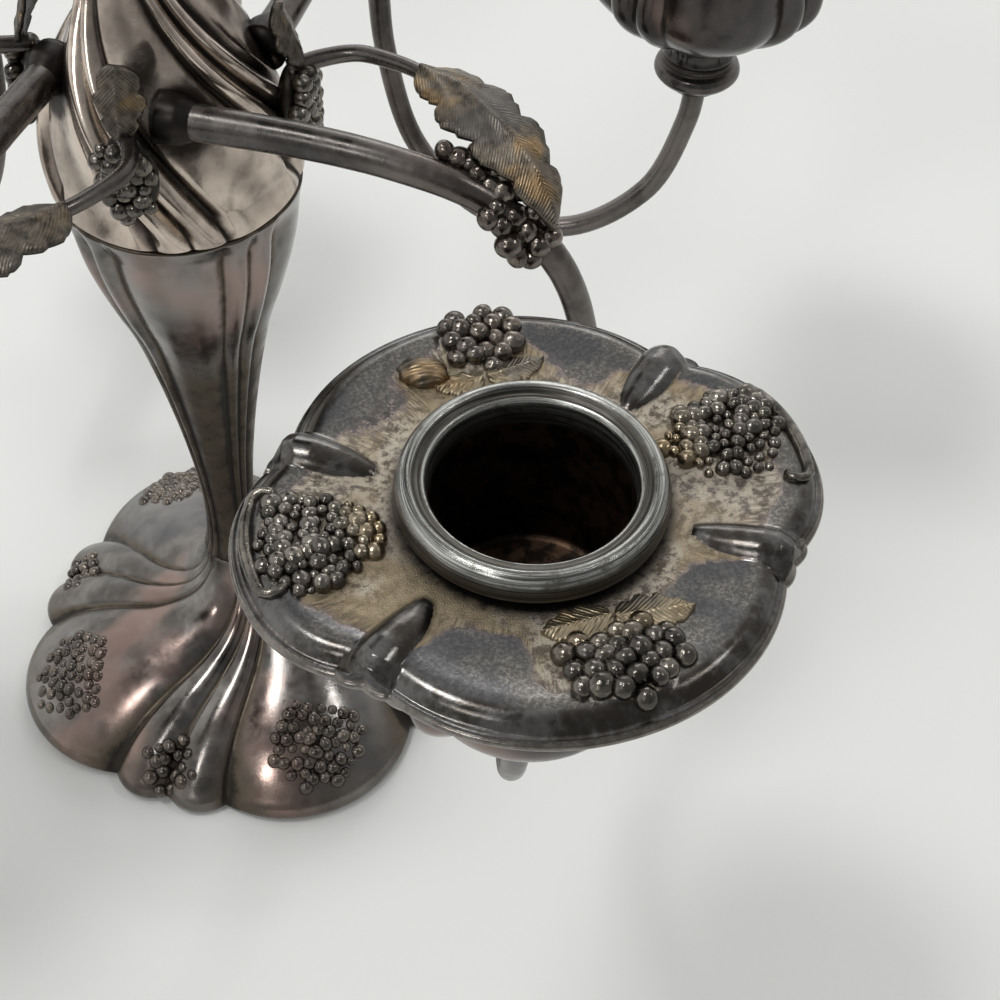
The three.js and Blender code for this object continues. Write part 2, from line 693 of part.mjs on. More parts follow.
// Column: lobed vase with a recess for the socket and a hollow down to the tie rod
function columnGeometry() {
  const outside = cappedSolid(columnProfile.map(([r, z], i) => {
    return groovedRing(r, i === 0 ? 0 : r * columnGroove, columnLevel(z), columnTurn);
  }));
  const flangeSeat = columnSeat - flangeThickness - seatGap;
  const bore = socketOuter + seatGap;
  const recess = socketFlangeRadius + seatGap;
  const [cutFoot, cutTop] = [columnFoot - cutBeyond, columnSeat + cutBeyond];
  const inside = lathe([
    [0, cutFoot], [rodHoleRadius, cutFoot], [rodHoleRadius, columnLevel(columnRodHoleTop)],
    ...columnHollow.map(([r, z]) => [r, columnLevel(z)]),
    [bore, socketFloor - socketWall - seatGap], [bore, flangeSeat], [recess, flangeSeat], [recess, cutTop],
    [0, cutTop],
  ], facets.fitting);
  return fromSolid(outside.subtract(toSolid(inside)));
}

function socketGeometry() {
  const bore = socketBore / 2;
  const bottom = socketFloor - socketWall;
  const flangeFoot = columnSeat - flangeThickness;
  return lathe([
    [rodHoleRadius, bottom], [socketOuter, bottom], [socketOuter, flangeFoot], [socketFlangeRadius, flangeFoot],
    [socketFlangeRadius, columnSeat], [bore, columnSeat], [bore, socketFloor], [rodHoleRadius, socketFloor],
    [rodHoleRadius, bottom],
  ], facets.fitting);
}

// Foot: the grooves turn more and more towards the waist
function footRing(radius, height) {
  const share = Math.max(0, 1 - radius / footLobeRadius);
  const scale = radius / footLobeRadius;
  return lobedRing(({ rise, wide }) => {
    const crest = wide ? footLobeRadius : footNarrowRadius;
    return (footGrooveRadius + (crest - footGrooveRadius) * rise) * scale;
  }, height, footTurn + footSwirl * share ** footSwirlPower);
}

function footGeometry() {
  const rim = footLobeRadius - footRimRound;
  const top = footProfile[0][1];
  const outer = [...footProfile, footShoulder, [footLobeRadius, footRimHeight], [rim, footLift]];
  const outside = cappedSolid(outer.map(([r, z]) => footRing(r, z)));
  const cavity = footProfile.slice(1).reverse().map(([r, z]) => [r * footGrooveShare - footWall, z - footWall]);
  const mouth = rim * footGrooveShare - footWall;
  const [cutFoot, cutTop] = [footLift - cutBeyond, top + cutBeyond];
  const inside = lathe([
    [0, cutFoot], [mouth, cutFoot], [mouth, footRimHeight], ...cavity, [rodHoleRadius, cavity.at(-1)[1]],
    [rodHoleRadius, cutTop], [0, cutTop],
  ], facets.foot);
  return fromSolid(outside.subtract(toSolid(inside)));
}

function ballastGeometry() {
  const inset = footWall + ballastClearance;
  const wall = footProfile.slice(2).reverse().map(([r, z]) => [r * footGrooveShare - inset, z - inset]);
  const top = wall.at(-1)[1];
  return lathe([
    [nutRecessRadius, ballastFoot], [wall[0][0], ballastFoot], ...wall, [rodHoleRadius, top],
    [rodHoleRadius, nutSeat], [nutRecessRadius, nutSeat], [nutRecessRadius, ballastFoot],
  ], facets.fitting);
}

function feltGeometry() {
  return lathe([[0, 0], [feltRadius, 0], [feltRadius, feltThickness], [0, feltThickness]], facets.felt);
}

function tieRodGeometry() {
  const shaft = rodDiameter / 2;
  const bottom = nutTop - nutThickness - rodBeyondNut;
  const headFoot = cupHeight + rodHeadFoot;
  const headTop = headFoot + rodHeadThickness;
  return lathe([
    [0, bottom], [shaft, bottom], [shaft, headFoot], [rodHeadDiameter / 2, headFoot], [rodHeadDiameter / 2, headTop],
    [0, headTop],
  ], facets.rod);
}

function washerGeometry() {
  const outer = washerDiameter / 2;
  return ringPlate(rodHoleRadius, outer, washerTop - washerThickness, washerThickness, facets.collar);
}

// Nut: a corner is farther from the axis than the flat beside it
function nutGeometry() {
  const sides = 6;
  const corner = 1 / Math.cos(Math.PI / sides);
  return ringPlate(rodHoleRadius * corner, nutAcross / 2 * corner, nutTop - nutThickness, nutThickness, sides);
}

// A cup with its collar, screw, pan and nozzle
function light(number) {
  return [
    piece(`collar_${number}`, collarGeometry(), finish.dark),
    piece(`cup_screw_${number}`, screwGeometry(), finish.steel),
    piece(`cup_${number}`, cupGeometry(), finish.tarnish),
    piece(`drip_pan_${number}`, panGeometry(), finish.gilt),
    piece(`nozzle_${number}`, nozzleGeometry(), finish.worn),
  ];
}

// Assembly
const model = new THREE.Group();

function place(pieces, height, radius = 0, azimuth = 0) {
  const turned = new THREE.Group();
  const moved = new THREE.Group();
  turned.rotation.z = azimuth * degrees;
  moved.position.set(radius, 0, height);
  moved.add(...pieces);
  turned.add(moved);
  model.add(turned);
}

place([
  piece('foot_felt', feltGeometry(), finish.felt),
  piece('foot_ballast', ballastGeometry(), finish.ballast),
  piece('foot_shell', footGeometry(), finish.tarnish),
  piece('tie_rod', tieRodGeometry(), finish.steel),
  piece('tie_rod_washer', washerGeometry(), finish.steel),
  piece('tie_rod_nut', nutGeometry(), finish.steel),
], 0);
place([
  piece('column', columnGeometry(), finish.tarnish),
  piece('column_socket', socketGeometry(), finish.brass),
  piece('branch_plug', plugGeometry(), finish.brass),
  piece('branch_dome', domeGeometry(), finish.tarnish),
  piece('centre_stem', stemGeometry(), finish.tarnish),
], cupHeight);
for (let i = 0; i < outerLights; i += 1) {
  const number = i + 1;
  const azimuth = firstLightAzimuth + i * 360 / outerLights;
  place([
    piece(`arm_${number}`, armGeometry(), finish.dark),
    piece(`vine_${number}`, vineGeometry(), finish.gilt),
  ], cupHeight, 0, azimuth);
  place([
    piece(`shoulder_grapes_${number}`, shoulderGeometry(), finish.gilt),
  ], cupHeight, 0, azimuth + shoulderAzimuth);
  place(light(number), cupHeight, armReach, azimuth);
}
place(light(outerLights + 1), cupHeight + centreRise, 0, firstLightAzimuth);

export default model;
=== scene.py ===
# Five-light candelabrum in old silver plate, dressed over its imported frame.
# Lengths are millimetres until a piece is made. Heights of lights, arms, column and dome are
# counted from the widest level of the outer cups, and angles are in degrees.
import math
from collections import namedtuple

import bmesh
import bpy
import numpy as np
from mathutils import Matrix, Vector


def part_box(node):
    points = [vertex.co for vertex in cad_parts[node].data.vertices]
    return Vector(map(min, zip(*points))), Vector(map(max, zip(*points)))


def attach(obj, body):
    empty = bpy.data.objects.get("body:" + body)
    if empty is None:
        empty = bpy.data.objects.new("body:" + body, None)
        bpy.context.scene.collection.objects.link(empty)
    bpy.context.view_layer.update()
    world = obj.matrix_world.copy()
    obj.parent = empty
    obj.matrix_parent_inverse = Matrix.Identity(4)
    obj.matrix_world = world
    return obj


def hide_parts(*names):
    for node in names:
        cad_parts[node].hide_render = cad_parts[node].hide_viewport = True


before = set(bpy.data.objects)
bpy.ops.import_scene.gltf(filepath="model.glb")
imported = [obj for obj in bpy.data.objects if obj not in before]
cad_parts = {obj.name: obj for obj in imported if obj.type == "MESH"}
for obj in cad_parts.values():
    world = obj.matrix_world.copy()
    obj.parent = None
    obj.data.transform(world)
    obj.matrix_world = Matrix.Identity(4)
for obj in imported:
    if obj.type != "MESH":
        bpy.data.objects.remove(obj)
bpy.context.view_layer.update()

MM = 0.001
RANDOM = np.random.default_rng(12)

# Places that come from the frame
RIM_ABOVE_CUP = 21.0
OUTER_LIGHTS = (1, 2, 3, 4)
LIGHTS = (1, 2, 3, 4, 5)


def light_place(number):
    """Axis and cup level of a light, and the direction of its arm."""
    low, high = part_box(f"nozzle_{number}")
    x, y = (low.x + high.x) / 2 / MM, (low.y + high.y) / 2 / MM
    level = high.z / MM - RIM_ABOVE_CUP
    azimuth = math.degrees(math.atan2(y, x)) if math.hypot(x, y) > 1 else -90.0
    return np.array([x, y, level]), azimuth


BASE = np.array([0, 0, light_place(1)[0][2]])
FOOT_RADIUS = 44.0

# Lobing: in each quarter, one wide smooth lobe and two narrow flutes
QUARTERS = 4
WIDE_ANGLE = 57.6
NARROW_ANGLE = 16.2
WIDE_STEPS = 34
NARROW_STEPS = 14


# Camera, solved from the photograph

CAMERA_PLACE = (-67.1, -193.3, 274.5)
CAMERA_HEADING = 57.2
CAMERA_PITCH = 49.3
CAMERA_ROLL = 1.6
FOCAL_PIXELS = 1715.7
FRAME_PIXELS = 1000
SENSOR_WIDTH = 36.0
CAMERA_CLIP = (0.01, 50)


def direction(azimuth, elevation):
    """The unit vector at an azimuth and an elevation."""
    a, e = math.radians(azimuth), math.radians(elevation)
    return Vector((math.cos(a) * math.cos(e), math.sin(a) * math.cos(e), math.sin(e)))


def added(name, data):
    """A new object in the scene."""
    made = bpy.data.objects.new(name, data)
    bpy.context.scene.collection.objects.link(made)
    return made


def make_camera():
    data = bpy.data.cameras.new("camera")
    data.sensor_width = SENSOR_WIDTH
    data.lens = FOCAL_PIXELS / FRAME_PIXELS * SENSOR_WIDTH
    data.clip_start, data.clip_end = CAMERA_CLIP
    forward = direction(CAMERA_HEADING, -CAMERA_PITCH)
    level = direction(CAMERA_HEADING - 90, 0)
    upright = level.cross(forward)
    roll = math.radians(CAMERA_ROLL)
    right = level * math.cos(roll) + upright * math.sin(roll)
    up = upright * math.cos(roll) - level * math.sin(roll)
    matrix = Matrix((right, up, -forward)).transposed().to_4x4()
    matrix.translation = Vector(CAMERA_PLACE) * MM
    camera = added("camera", data)
    camera.matrix_world = matrix
    bpy.context.scene.camera = camera


# Shapes

def turned(points, degrees):
    """Points turned about the vertical axis."""
    a = math.radians(degrees)
    return points @ np.array([[math.cos(a), math.sin(a), 0], [-math.sin(a), math.cos(a), 0], [0, 0, 1]])


class Shape:
    """Points with faces, how deep in a recess each point lies, and three numbers of grain for its finish.
    Recess is painted darker, as tarnish and as painted shade.
    """

    def __init__(self, points, faces, recess=0.0, grain=(0.0, 0.0, 0.0)):
        self.points = np.reshape(points, (-1, 3))
        self.faces = faces
        self.recess = np.broadcast_to(np.ravel(recess), len(self.points)).copy()
        self.grain = np.broadcast_to(np.reshape(grain, (-1, 3)), self.points.shape).copy()

    def turned(self, degrees):
        return Shape(turned(self.points, degrees), self.faces, self.recess, self.grain)

    def moved(self, offset):
        return Shape(self.points + np.asarray(offset, float), self.faces, self.recess, self.grain)


def joined(shapes):
    faces, start = [], 0
    for shape in shapes:
        faces += [[i + start for i in face] for face in shape.faces]
        start += len(shape.points)
    points, recess, grain = (np.concatenate(p) for p in zip(*((s.points, s.recess, s.grain) for s in shapes)))
    return Shape(points, faces, recess, grain)


def piece(name, shape, finish, body, slot, *nodes):
    """A smooth closed mesh in place, riding on its body and standing for its CAD nodes."""
    mesh = bpy.data.meshes.new(name)
    mesh.from_pydata((shape.points * MM).tolist(), [], shape.faces)
    recess = mesh.attributes.new("recess", "FLOAT", "POINT")
    recess.data.foreach_set("value", shape.recess.astype(np.float32))
    grain = mesh.attributes.new("grain", "FLOAT_VECTOR", "POINT")
    grain.data.foreach_set("vector", shape.grain.astype(np.float32).ravel())
    tidy = bmesh.new()
    tidy.from_mesh(mesh)
    bmesh.ops.recalc_face_normals(tidy, faces=tidy.faces)
    tidy.to_mesh(mesh)
    tidy.free()
    mesh.materials.append(FINISHES[finish])
    mesh.shade_smooth()
    made = added(name, mesh)
    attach(made, body)
    if nodes:
        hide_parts(*nodes)


def unit(vectors):
    return vectors / np.linalg.norm(vectors, axis=-1, keepdims=True)


def ramp(value, start, end):
    """0 up to start and 1 from end on."""
    return np.clip((value - start) / (end - start), 0, 1)


def walked_along(path):
    """How far along a path each of its points lies."""
    return np.append(0, np.cumsum(np.linalg.norm(np.diff(path, axis=0), axis=1)))


def stacked(*parts):
    return np.stack(np.broadcast_arrays(*parts), axis=-1)


def polar(radius, a, height):
    """Points from distances, angles in radians and heights."""
    return stacked(radius * np.cos(a), radius * np.sin(a), height)


def spline(points, steps):
    """Centripetal Catmull-Rom curve through points, with so many steps to a span."""
    p = np.asarray(points, float)
    p = np.vstack([2 * p[0] - p[1], p, 2 * p[-1] - p[-2]])
    t = np.linspace(0, 1, steps, endpoint=False)[:, None]
    spans = []
    for a, b, c, d in zip(p[:-3], p[1:-2], p[2:-1], p[3:]):
        ab, bc, cd = (math.sqrt(np.linalg.norm(side)) for side in (b - a, c - b, d - c))
        start = bc * ((b - a) / ab - (c - a) / (ab + bc) + (c - b) / bc)
        end = bc * ((c - b) / bc - (d - b) / (bc + cd) + (d - c) / cd)
        square, cube = 3 * (c - b) - 2 * start - end, 2 * (b - c) + start + end
        spans.append(b + start * t + square * t ** 2 + cube * t ** 3)
    return np.vstack(spans + [p[-2:-1]])


CORNER_SHARE = 0.45


def softened(profile, size, steps=4):
    """The profile with each corner cut back and rounded."""
    p = np.asarray(profile, float)
    out = [p[0]]
    for a, b, c in zip(p[:-2], p[1:-1], p[2:]):
        start, end = (b + (q - b) * min(size / np.linalg.norm(q - b), CORNER_SHARE) for q in (a, c))
        for t in np.linspace(0, 1, steps):
            out.append((1 - t) ** 2 * start + 2 * t * (1 - t) * b + t ** 2 * end)
    return np.array(out + [p[-1]])


def softened_loop(profile, size):
    return softened([*profile, profile[0]], size)[:-1]


def rings_shape(rings, loop=False, recess=0.0, grain=(0.0, 0.0, 0.0)):
    """Rings of points side by side: the last one meets the first, or the ends close on their middles."""
    rings = np.asarray(rings, float)
    count, around = rings.shape[:2]
    index = np.arange(count * around).reshape(count, around)
    after = np.roll(index, -1, axis=0)
    quads = np.stack([index, np.roll(index, -1, axis=1), np.roll(after, -1, axis=1), after], axis=-1)
    faces = quads[:count if loop else -1].reshape(-1, 4).tolist()
    points = rings.reshape(-1, 3)
    recess = np.broadcast_to(recess, (count, around)).ravel()
    grain = np.broadcast_to(grain, rings.shape).reshape(-1, 3)
    for ring in () if loop else (0, count - 1):
        faces += [(int(a), int(b), len(points)) for a, b in zip(index[ring], np.roll(index[ring], -1))]
        points = np.vstack([points, rings[ring].mean(axis=0)])
        recess, grain = (np.append(values, values[[ring * around]], axis=0) for values in (recess, grain))
    return Shape(points, faces, recess, grain)


def revolved(profile, sides=96, loop=False, recess=0.0):
    """A turned shape from [radius, height] points: a loop, or an open line that is capped."""
    profile = np.asarray(profile, float)
    a = np.linspace(0, 2 * np.pi, sides, endpoint=False)
    rings = polar(profile[:, :1], a, profile[:, 1:2])
    grain = stacked(walked_along(profile)[:, None], np.cos(a), np.sin(a))
    return rings_shape(rings, loop, np.reshape(recess, (-1, 1)), grain)


def lobe_angles():
    wide = np.linspace(0, WIDE_ANGLE, WIDE_STEPS, endpoint=False)
    narrow = np.linspace(0, NARROW_ANGLE, NARROW_STEPS, endpoint=False)
    quarter = np.concatenate([wide, WIDE_ANGLE + narrow, WIDE_ANGLE + NARROW_ANGLE + narrow])
    return np.concatenate([quarter + q * 360 / QUARTERS for q in range(QUARTERS)])


def lobe_rise(angles):
    """0 in a groove and 1 on a crest, and whether the angle is on a wide lobe."""
    inside = angles % (360 / QUARTERS)
    wide = inside < WIDE_ANGLE
    share = np.where(wide, inside / WIDE_ANGLE, ((inside - WIDE_ANGLE) % NARROW_ANGLE) / NARROW_ANGLE)
    return 1 - (2 * share - 1) ** 2, wide


def lobed_rings(profile, depths, turns):
    """Rings of a lobed shape, and the recess at each point: depths are shares of the radius."""
    angles = lobe_angles()
    rise, _ = lobe_rise(angles)
    rings, recess = [], []
    for (radius, height), depth, turn in zip(profile, depths, turns):
        r = radius * (1 - depth * (1 - rise))
        a = np.radians(angles - WIDE_ANGLE / 2 + turn)
        rings.append(polar(r, a, height))
        recess.append((1 - rise) ** 3)
    return np.array(rings), np.array(recess)


def tube(path, radii, sides=20, recess=0.0):
    """A round rod along a path, closed at both ends."""
    path = np.asarray(path, float)
    radii = np.broadcast_to(radii, len(path))
    tangents = unit(np.gradient(path, axis=0))
    side = np.cross(tangents[0], [0.0, 0.0, 1.0])
    a = np.linspace(0, 2 * np.pi, sides, endpoint=False)
    rings, grain = [], []
    for point, tangent, radius, walked in zip(path, tangents, radii, walked_along(path)):
        side = unit(side - tangent * side.dot(tangent))
        other = np.cross(tangent, side)
        rings.append(point + radius * (np.outer(np.cos(a), side) + np.outer(np.sin(a), other)))
        grain.append(stacked(walked, np.cos(a), np.sin(a)))
    return rings_shape(rings, recess=recess, grain=grain)


def sheet_shape(upper, lower, recess, grain):
    """A closed sheet between two grids of points."""
    rows, columns = np.shape(upper)[:2]
    size = rows * columns
    index = np.arange(size).reshape(rows, columns)
    top = np.stack([index[:-1, :-1], index[:-1, 1:], index[1:, 1:], index[1:, :-1]], axis=-1)
    faces = np.stack([top, top[..., ::-1] + size], axis=2).reshape(-1, 4).tolist()
    rim = np.concatenate([index[0, :-1], index[:-1, -1], index[-1, :0:-1], index[:0:-1, 0]])
    ahead = np.roll(rim, -1)
    faces += np.stack([rim, ahead, ahead + size, rim + size], axis=-1).tolist()
    # The lower side gets full recess: painted dark as shade under the sheet
    recess = np.append(np.ravel(recess), np.ones(size))
    return Shape([upper, lower], faces, recess, np.tile(np.reshape(grain, (-1, 3)), (2, 1)))


def unit_ball():
    ball = bmesh.new()
    bmesh.ops.create_icosphere(ball, subdivisions=3, radius=1)
    points = np.array([v.co[:] for v in ball.verts])
    faces = [tuple(v.index for v in f.verts) for f in ball.faces]
    ball.free()
    return points, faces


BALL_POINTS, BALL_FACES = unit_ball()
GRAPE_STRETCH = 0.12
DENTS = 4
DENT_DEPTHS = (-0.03, 0.09)


def grape(centre, radius, up=(0, 0, 1), gold=0.0):
    """A dented ball whose side away from up is given recess, as tarnish and painted shade where it sits; gold
    is how far it is tinted.
    """
    stretch = 1 + RANDOM.uniform(-GRAPE_STRETCH, GRAPE_STRETCH, 3)
    swell = np.ones(len(BALL_POINTS))
    for _ in range(DENTS):
        spot = unit(RANDOM.normal(0, 1, 3))
        swell -= RANDOM.uniform(*DENT_DEPTHS) * np.clip(BALL_POINTS @ spot, 0, 1) ** 4
    points = BALL_POINTS * stretch * swell[:, None] * radius
    recess = np.clip(0.3 - 0.75 * BALL_POINTS @ np.asarray(up, float), 0, 0.9)
    grain = np.tile([gold, RANDOM.uniform(0, 1), 0.0], (len(points), 1))
    return Shape(points, BALL_FACES, recess, grain).moved(centre)


GRAPE_STEP = 1.62
GRAPE_SHIFT = 0.16
ROW_SHARE = 0.87


def heaped_spots(size, spread, low, high, fits):
    """Places for grapes that touch, in uneven rows: [x, y, size] inside a box."""
    spots = []
    step = GRAPE_STEP * size
    for row, y in enumerate(np.arange(low[1], high[1], step * ROW_SHARE)):
        for x in np.arange(low[0] + row % 2 * step / 2, high[0], step):
            u, v = np.array([x, y]) + RANDOM.normal(0, GRAPE_SHIFT * size, 2)
            ball = size * RANDOM.uniform(1 - spread, 1 + spread)
            if fits(u, v, ball):
                spots.append((u, v, ball))
    return spots


# Finishes

# Veins of a leaf: distance apart, and how far along they run for each millimetre sideways
VEIN_PITCH = 0.56
VEIN_SLANT = 1.1
# Black for tarnish in the deepest hollows and for painted shade
SHADE_AND_TARNISH_BLACK = (0.02, 0.018, 0.017)
SMOKE = (0.088, 0.081, 0.075)
OLD_SILVER = (0.25, 0.236, 0.22)
BRIGHT_SILVER = (0.5, 0.5, 0.475)
STRAW = (0.46, 0.365, 0.22)
STONE = (0.46, 0.41, 0.335)
UMBER = (0.11, 0.09, 0.068)
BLUE_STEEL = (0.066, 0.069, 0.082)
COPPER_PINK = (0.34, 0.235, 0.2)
GOLD = (0.36, 0.27, 0.15)
RUBBED_HIGHLIGHT_PINK = (0.52, 0.44, 0.4)
POOL_TONES = ((0.11, 0.105, 0.097), (0.23, 0.22, 0.2))
BORDER_TONES = ((0.052, 0.046, 0.04), (0.135, 0.132, 0.128))
LIP_TONES = ((0.14, 0.127, 0.113), (0.23, 0.213, 0.193))
PALE_UMBER = (0.15, 0.13, 0.118)
FRINGE_PURPLE = (0.19, 0.155, 0.15)
RIM_SHADOW = (0.085, 0.085, 0.08)
RIM_STAIN = (0.15, 0.145, 0.13)
PIT_BROWN = (0.05, 0.045, 0.036)
GRIME_TONES = ((0.035, 0.032, 0.028), (0.13, 0.122, 0.108))
BORE_TONES = ((0.012, 0.009, 0.007), (0.075, 0.045, 0.028))
LEAF_TONES = ((0.075, 0.066, 0.056), (0.185, 0.16, 0.128))
LEAF_GOLD_TONES = ((0.2, 0.165, 0.11), (0.46, 0.38, 0.25))
AMBER = (0.3, 0.2, 0.1)
LEAF_GREY = (0.14, 0.133, 0.127)
VEIN_BROWN = (0.05, 0.042, 0.033)
FELT_TONES = ((0.012, 0.022, 0.015), (0.035, 0.055, 0.04))
FELT_DUST = (0.09, 0.095, 0.08)
PITCH_TONES = ((0.02, 0.016, 0.012), (0.075, 0.06, 0.045))


class Signal:
    """A value in a node tree, with arithmetic."""

    def __init__(self, nodes, socket):
        self.nodes, self.socket = nodes, socket

    def __add__(self, other):
        return self.nodes.maths("ADD", self, other)

    def __sub__(self, other):
        return self.nodes.maths("SUBTRACT", self, other)

    def __mul__(self, other):
        return self.nodes.maths("MULTIPLY", self, other)

    def scaled(self, *scale):
        return self.nodes.node("Mapping", "Vector", {"Vector": self, "Scale": scale})

    def part(self, axis):
        return self.nodes.node("SeparateXYZ", axis, {0: self})

    def ranged(self, low, high, start=0.0, end=1.0):
        """Where the value lies between two limits, eased, counted from start to end."""
        inputs = {"Value": self, "From Min": low, "From Max": high, "To Min": start, "To Max": end}
        return self.nodes.node("MapRange", "Result", inputs, interpolation_type="SMOOTHSTEP")

    def mixed(self, a, b):
        """Colour a at 0 and colour b at 1."""
        return self.nodes.mixed(self, a, b)


class Nodes:
    """A few kinds of node in a tree."""

    def __init__(self, tree):
        self.tree = tree

    def feed(self, socket, value):
        if isinstance(value, Signal):
            self.tree.links.new(value.socket, socket)
        else:
            socket.default_value = (*value, 1) if socket.type == "RGBA" else value

    def node(self, kind, output, inputs, **settings):
        made = self.tree.nodes.new("ShaderNode" + kind)
        for key, value in settings.items():
            setattr(made, key, value)
        for key, value in inputs.items():
            self.feed(made.inputs[key], value)
        return Signal(self, made.outputs[output])

    def maths(self, operation, *values):
        return self.node("Math", 0, dict(enumerate(values)), operation=operation)

    def mixed(self, share, a, b, blend="MIX"):
        return self.node("Mix", 2, {0: share, 6: a, 7: b}, data_type="RGBA", blend_type=blend)


class Finish(Nodes):
    """A procedural material on a piece's own coordinates."""

    def __init__(self, name):
        self.material = bpy.data.materials.new(name)
        self.material.use_nodes = True
        super().__init__(self.material.node_tree)
        self.shader = self.tree.nodes["Principled BSDF"]
        self.place = self.node("TexCoord", "Object", {})

    def noise(self, size, detail, roughness, vector=None):
        """Noise of a size in millimetres, or of a size in thousandths of another vector's unit."""
        inputs = {"Scale": 1 / (size * MM), "Detail": detail, "Roughness": roughness}
        return self.node("TexNoise", "Fac", {"Vector": vector or self.place, **inputs})

    def attribute(self, name, output="Fac"):
        return self.node("Attribute", output, {}, attribute_name=name)

    def bump(self, height, depth, strength, under=None):
        inputs = {"Height": height, "Distance": depth * MM, "Strength": strength}
        return self.node("Bump", "Normal", {**inputs, "Normal": under} if under else inputs)

    def done(self, colour, roughness, metallic, normal=None):
        inputs = {"Base Color": colour, "Roughness": roughness, "Metallic": metallic}
        for key, value in ({**inputs, "Normal": normal} if normal else inputs).items():
            self.feed(self.shader.inputs[key], value)
        return self.material


def old_plate(name, light, dark, hollow, copper, blue, gloss, fine=0.3, grapes=False):
    """Tarnished silver plate: patches, tints, tarnish and painted shade in the hollows, and fine wear."""
    f = Finish(name)
    recess = f.attribute("recess")
    patches = f.noise(22, 4, 0.55)
    mottle = f.noise(3.2, 5, 0.62)
    tint_patches = f.noise(30, 3, 0.5, f.place.scaled(1, 1.3, 0.8))
    tone = patches * (1 - fine) + mottle * fine
    colour = tone.ranged(0.38, 0.62).mixed(dark, light)
    colour = (tint_patches.ranged(0.52, 0.66) * blue).mixed(colour, BLUE_STEEL)
    colour = (tint_patches.ranged(0.48, 0.36) * copper).mixed(colour, COPPER_PINK)
    # Recess darkens the plate: tarnish in the hollows, and painted shade where a piece sets a shaded recess
    tarnish_and_shade = recess + (mottle - 0.5) * 0.7
    colour = tarnish_and_shade.ranged(0.25, 0.8).mixed(colour, hollow)
    colour = (tarnish_and_shade.ranged(0.75, 1.1) * 0.85).mixed(colour, SHADE_AND_TARNISH_BLACK)
    if grapes:
        grain = f.attribute("grain", "Vector")
        colour = grain.part("Y").ranged(0.35, 1.0, 0.0, 0.6).mixed(colour, SMOKE)
        colour = (grain.part("X") * tarnish_and_shade.ranged(0.7, 0.2)).mixed(colour, GOLD)
    # Rubbed crests turn light pink: wear, and a painted highlight on the dome's ribs
    rubbed = recess.ranged(-0.05, -0.4) * mottle.ranged(0.3, 0.6, 0.5, 1.0)
    colour = rubbed.mixed(colour, RUBBED_HIGHLIGHT_PINK)
    rough = mottle.ranged(0.35, 0.7, *gloss) + tarnish_and_shade.ranged(0.3, 0.9) * 0.22
    grit = f.bump(f.noise(0.35, 3, 0.7), 0.04, 0.3)
    waves = f.bump(f.noise(0.8, 3, 0.6), 0.3, 0.35, grit) if grapes else f.bump(mottle, 0.1, 0.2, grit)
    return f.done(colour, rough, 0.94, waves)


def pan_plate():
    """Drip pan: a matted stone-brown ground, dark polished pools and border, and a lighter lip."""
    f = Finish("pan_plate")
    recess = f.attribute("recess")
    grain = f.attribute("grain", "Vector")
    lip = grain.part("Z")
    patches = f.noise(7, 5, 0.62)
    mottle = f.noise(1.3, 5, 0.72)
    drift = f.noise(11, 3, 0.5, f.place.scaled(1.2, 0.9, 1))
    speckle = f.noise(0.42, 4, 0.75)
    grit = f.noise(0.17, 3, 0.65)
    ticks = f.noise(1000, 2, 0.4, grain.scaled(2.1, 0.35, 0))
    ragged = patches * 0.65 + mottle * 0.35
    edge = recess + (ragged - 0.5) * 1.5
    ground = edge.ranged(0.45, 0.58)
    polished = speckle.ranged(0.4, 0.66).mixed(*POOL_TONES)
    polished = (drift.ranged(0.5, 0.62) * 0.55).mixed(polished, BLUE_STEEL)
    border = ragged.ranged(0.42, 0.6).mixed(*BORDER_TONES)
    polished = lip.ranged(-0.25, -0.9).mixed(polished, border)
    earth = patches.ranged(0.4, 0.6).mixed(UMBER, PALE_UMBER)
    matted = mottle.ranged(0.4, 0.58).mixed(earth, STONE)
    matted = (drift.ranged(0.46, 0.6) * 0.85).mixed(matted, mottle.mixed(UMBER, STRAW))
    tick_band = recess.ranged(0.15, 0.6) * recess.ranged(1.0, 0.8)
    matted = (ticks.ranged(0.5, 0.38) * (tick_band * 0.6)).mixed(matted, UMBER)
    colour = ground.mixed(polished, matted)
    fringe = edge.ranged(0.36, 0.5) * edge.ranged(0.68, 0.52)
    colour = (fringe * 0.6).mixed(colour, FRINGE_PURPLE)
    # Painted shade: black at the feet of ridges, round the hole and under the pan
    colour = (recess + mottle * 0.35).ranged(1.25, 1.45).mixed(colour, SHADE_AND_TARNISH_BLACK)
    colour = lip.ranged(0.2, 0.8).mixed(colour, mottle.ranged(0.35, 0.65).mixed(*LIP_TONES))
    rough = mottle.ranged(0.3, 0.7, 0.13, 0.25) + ground * 0.18
    relief = (grit - 0.5) * 0.5 + (ticks - 0.5) * tick_band
    return f.done(colour, rough, 0.93, f.bump(relief * (ground + 0.1), 0.3, 0.8))


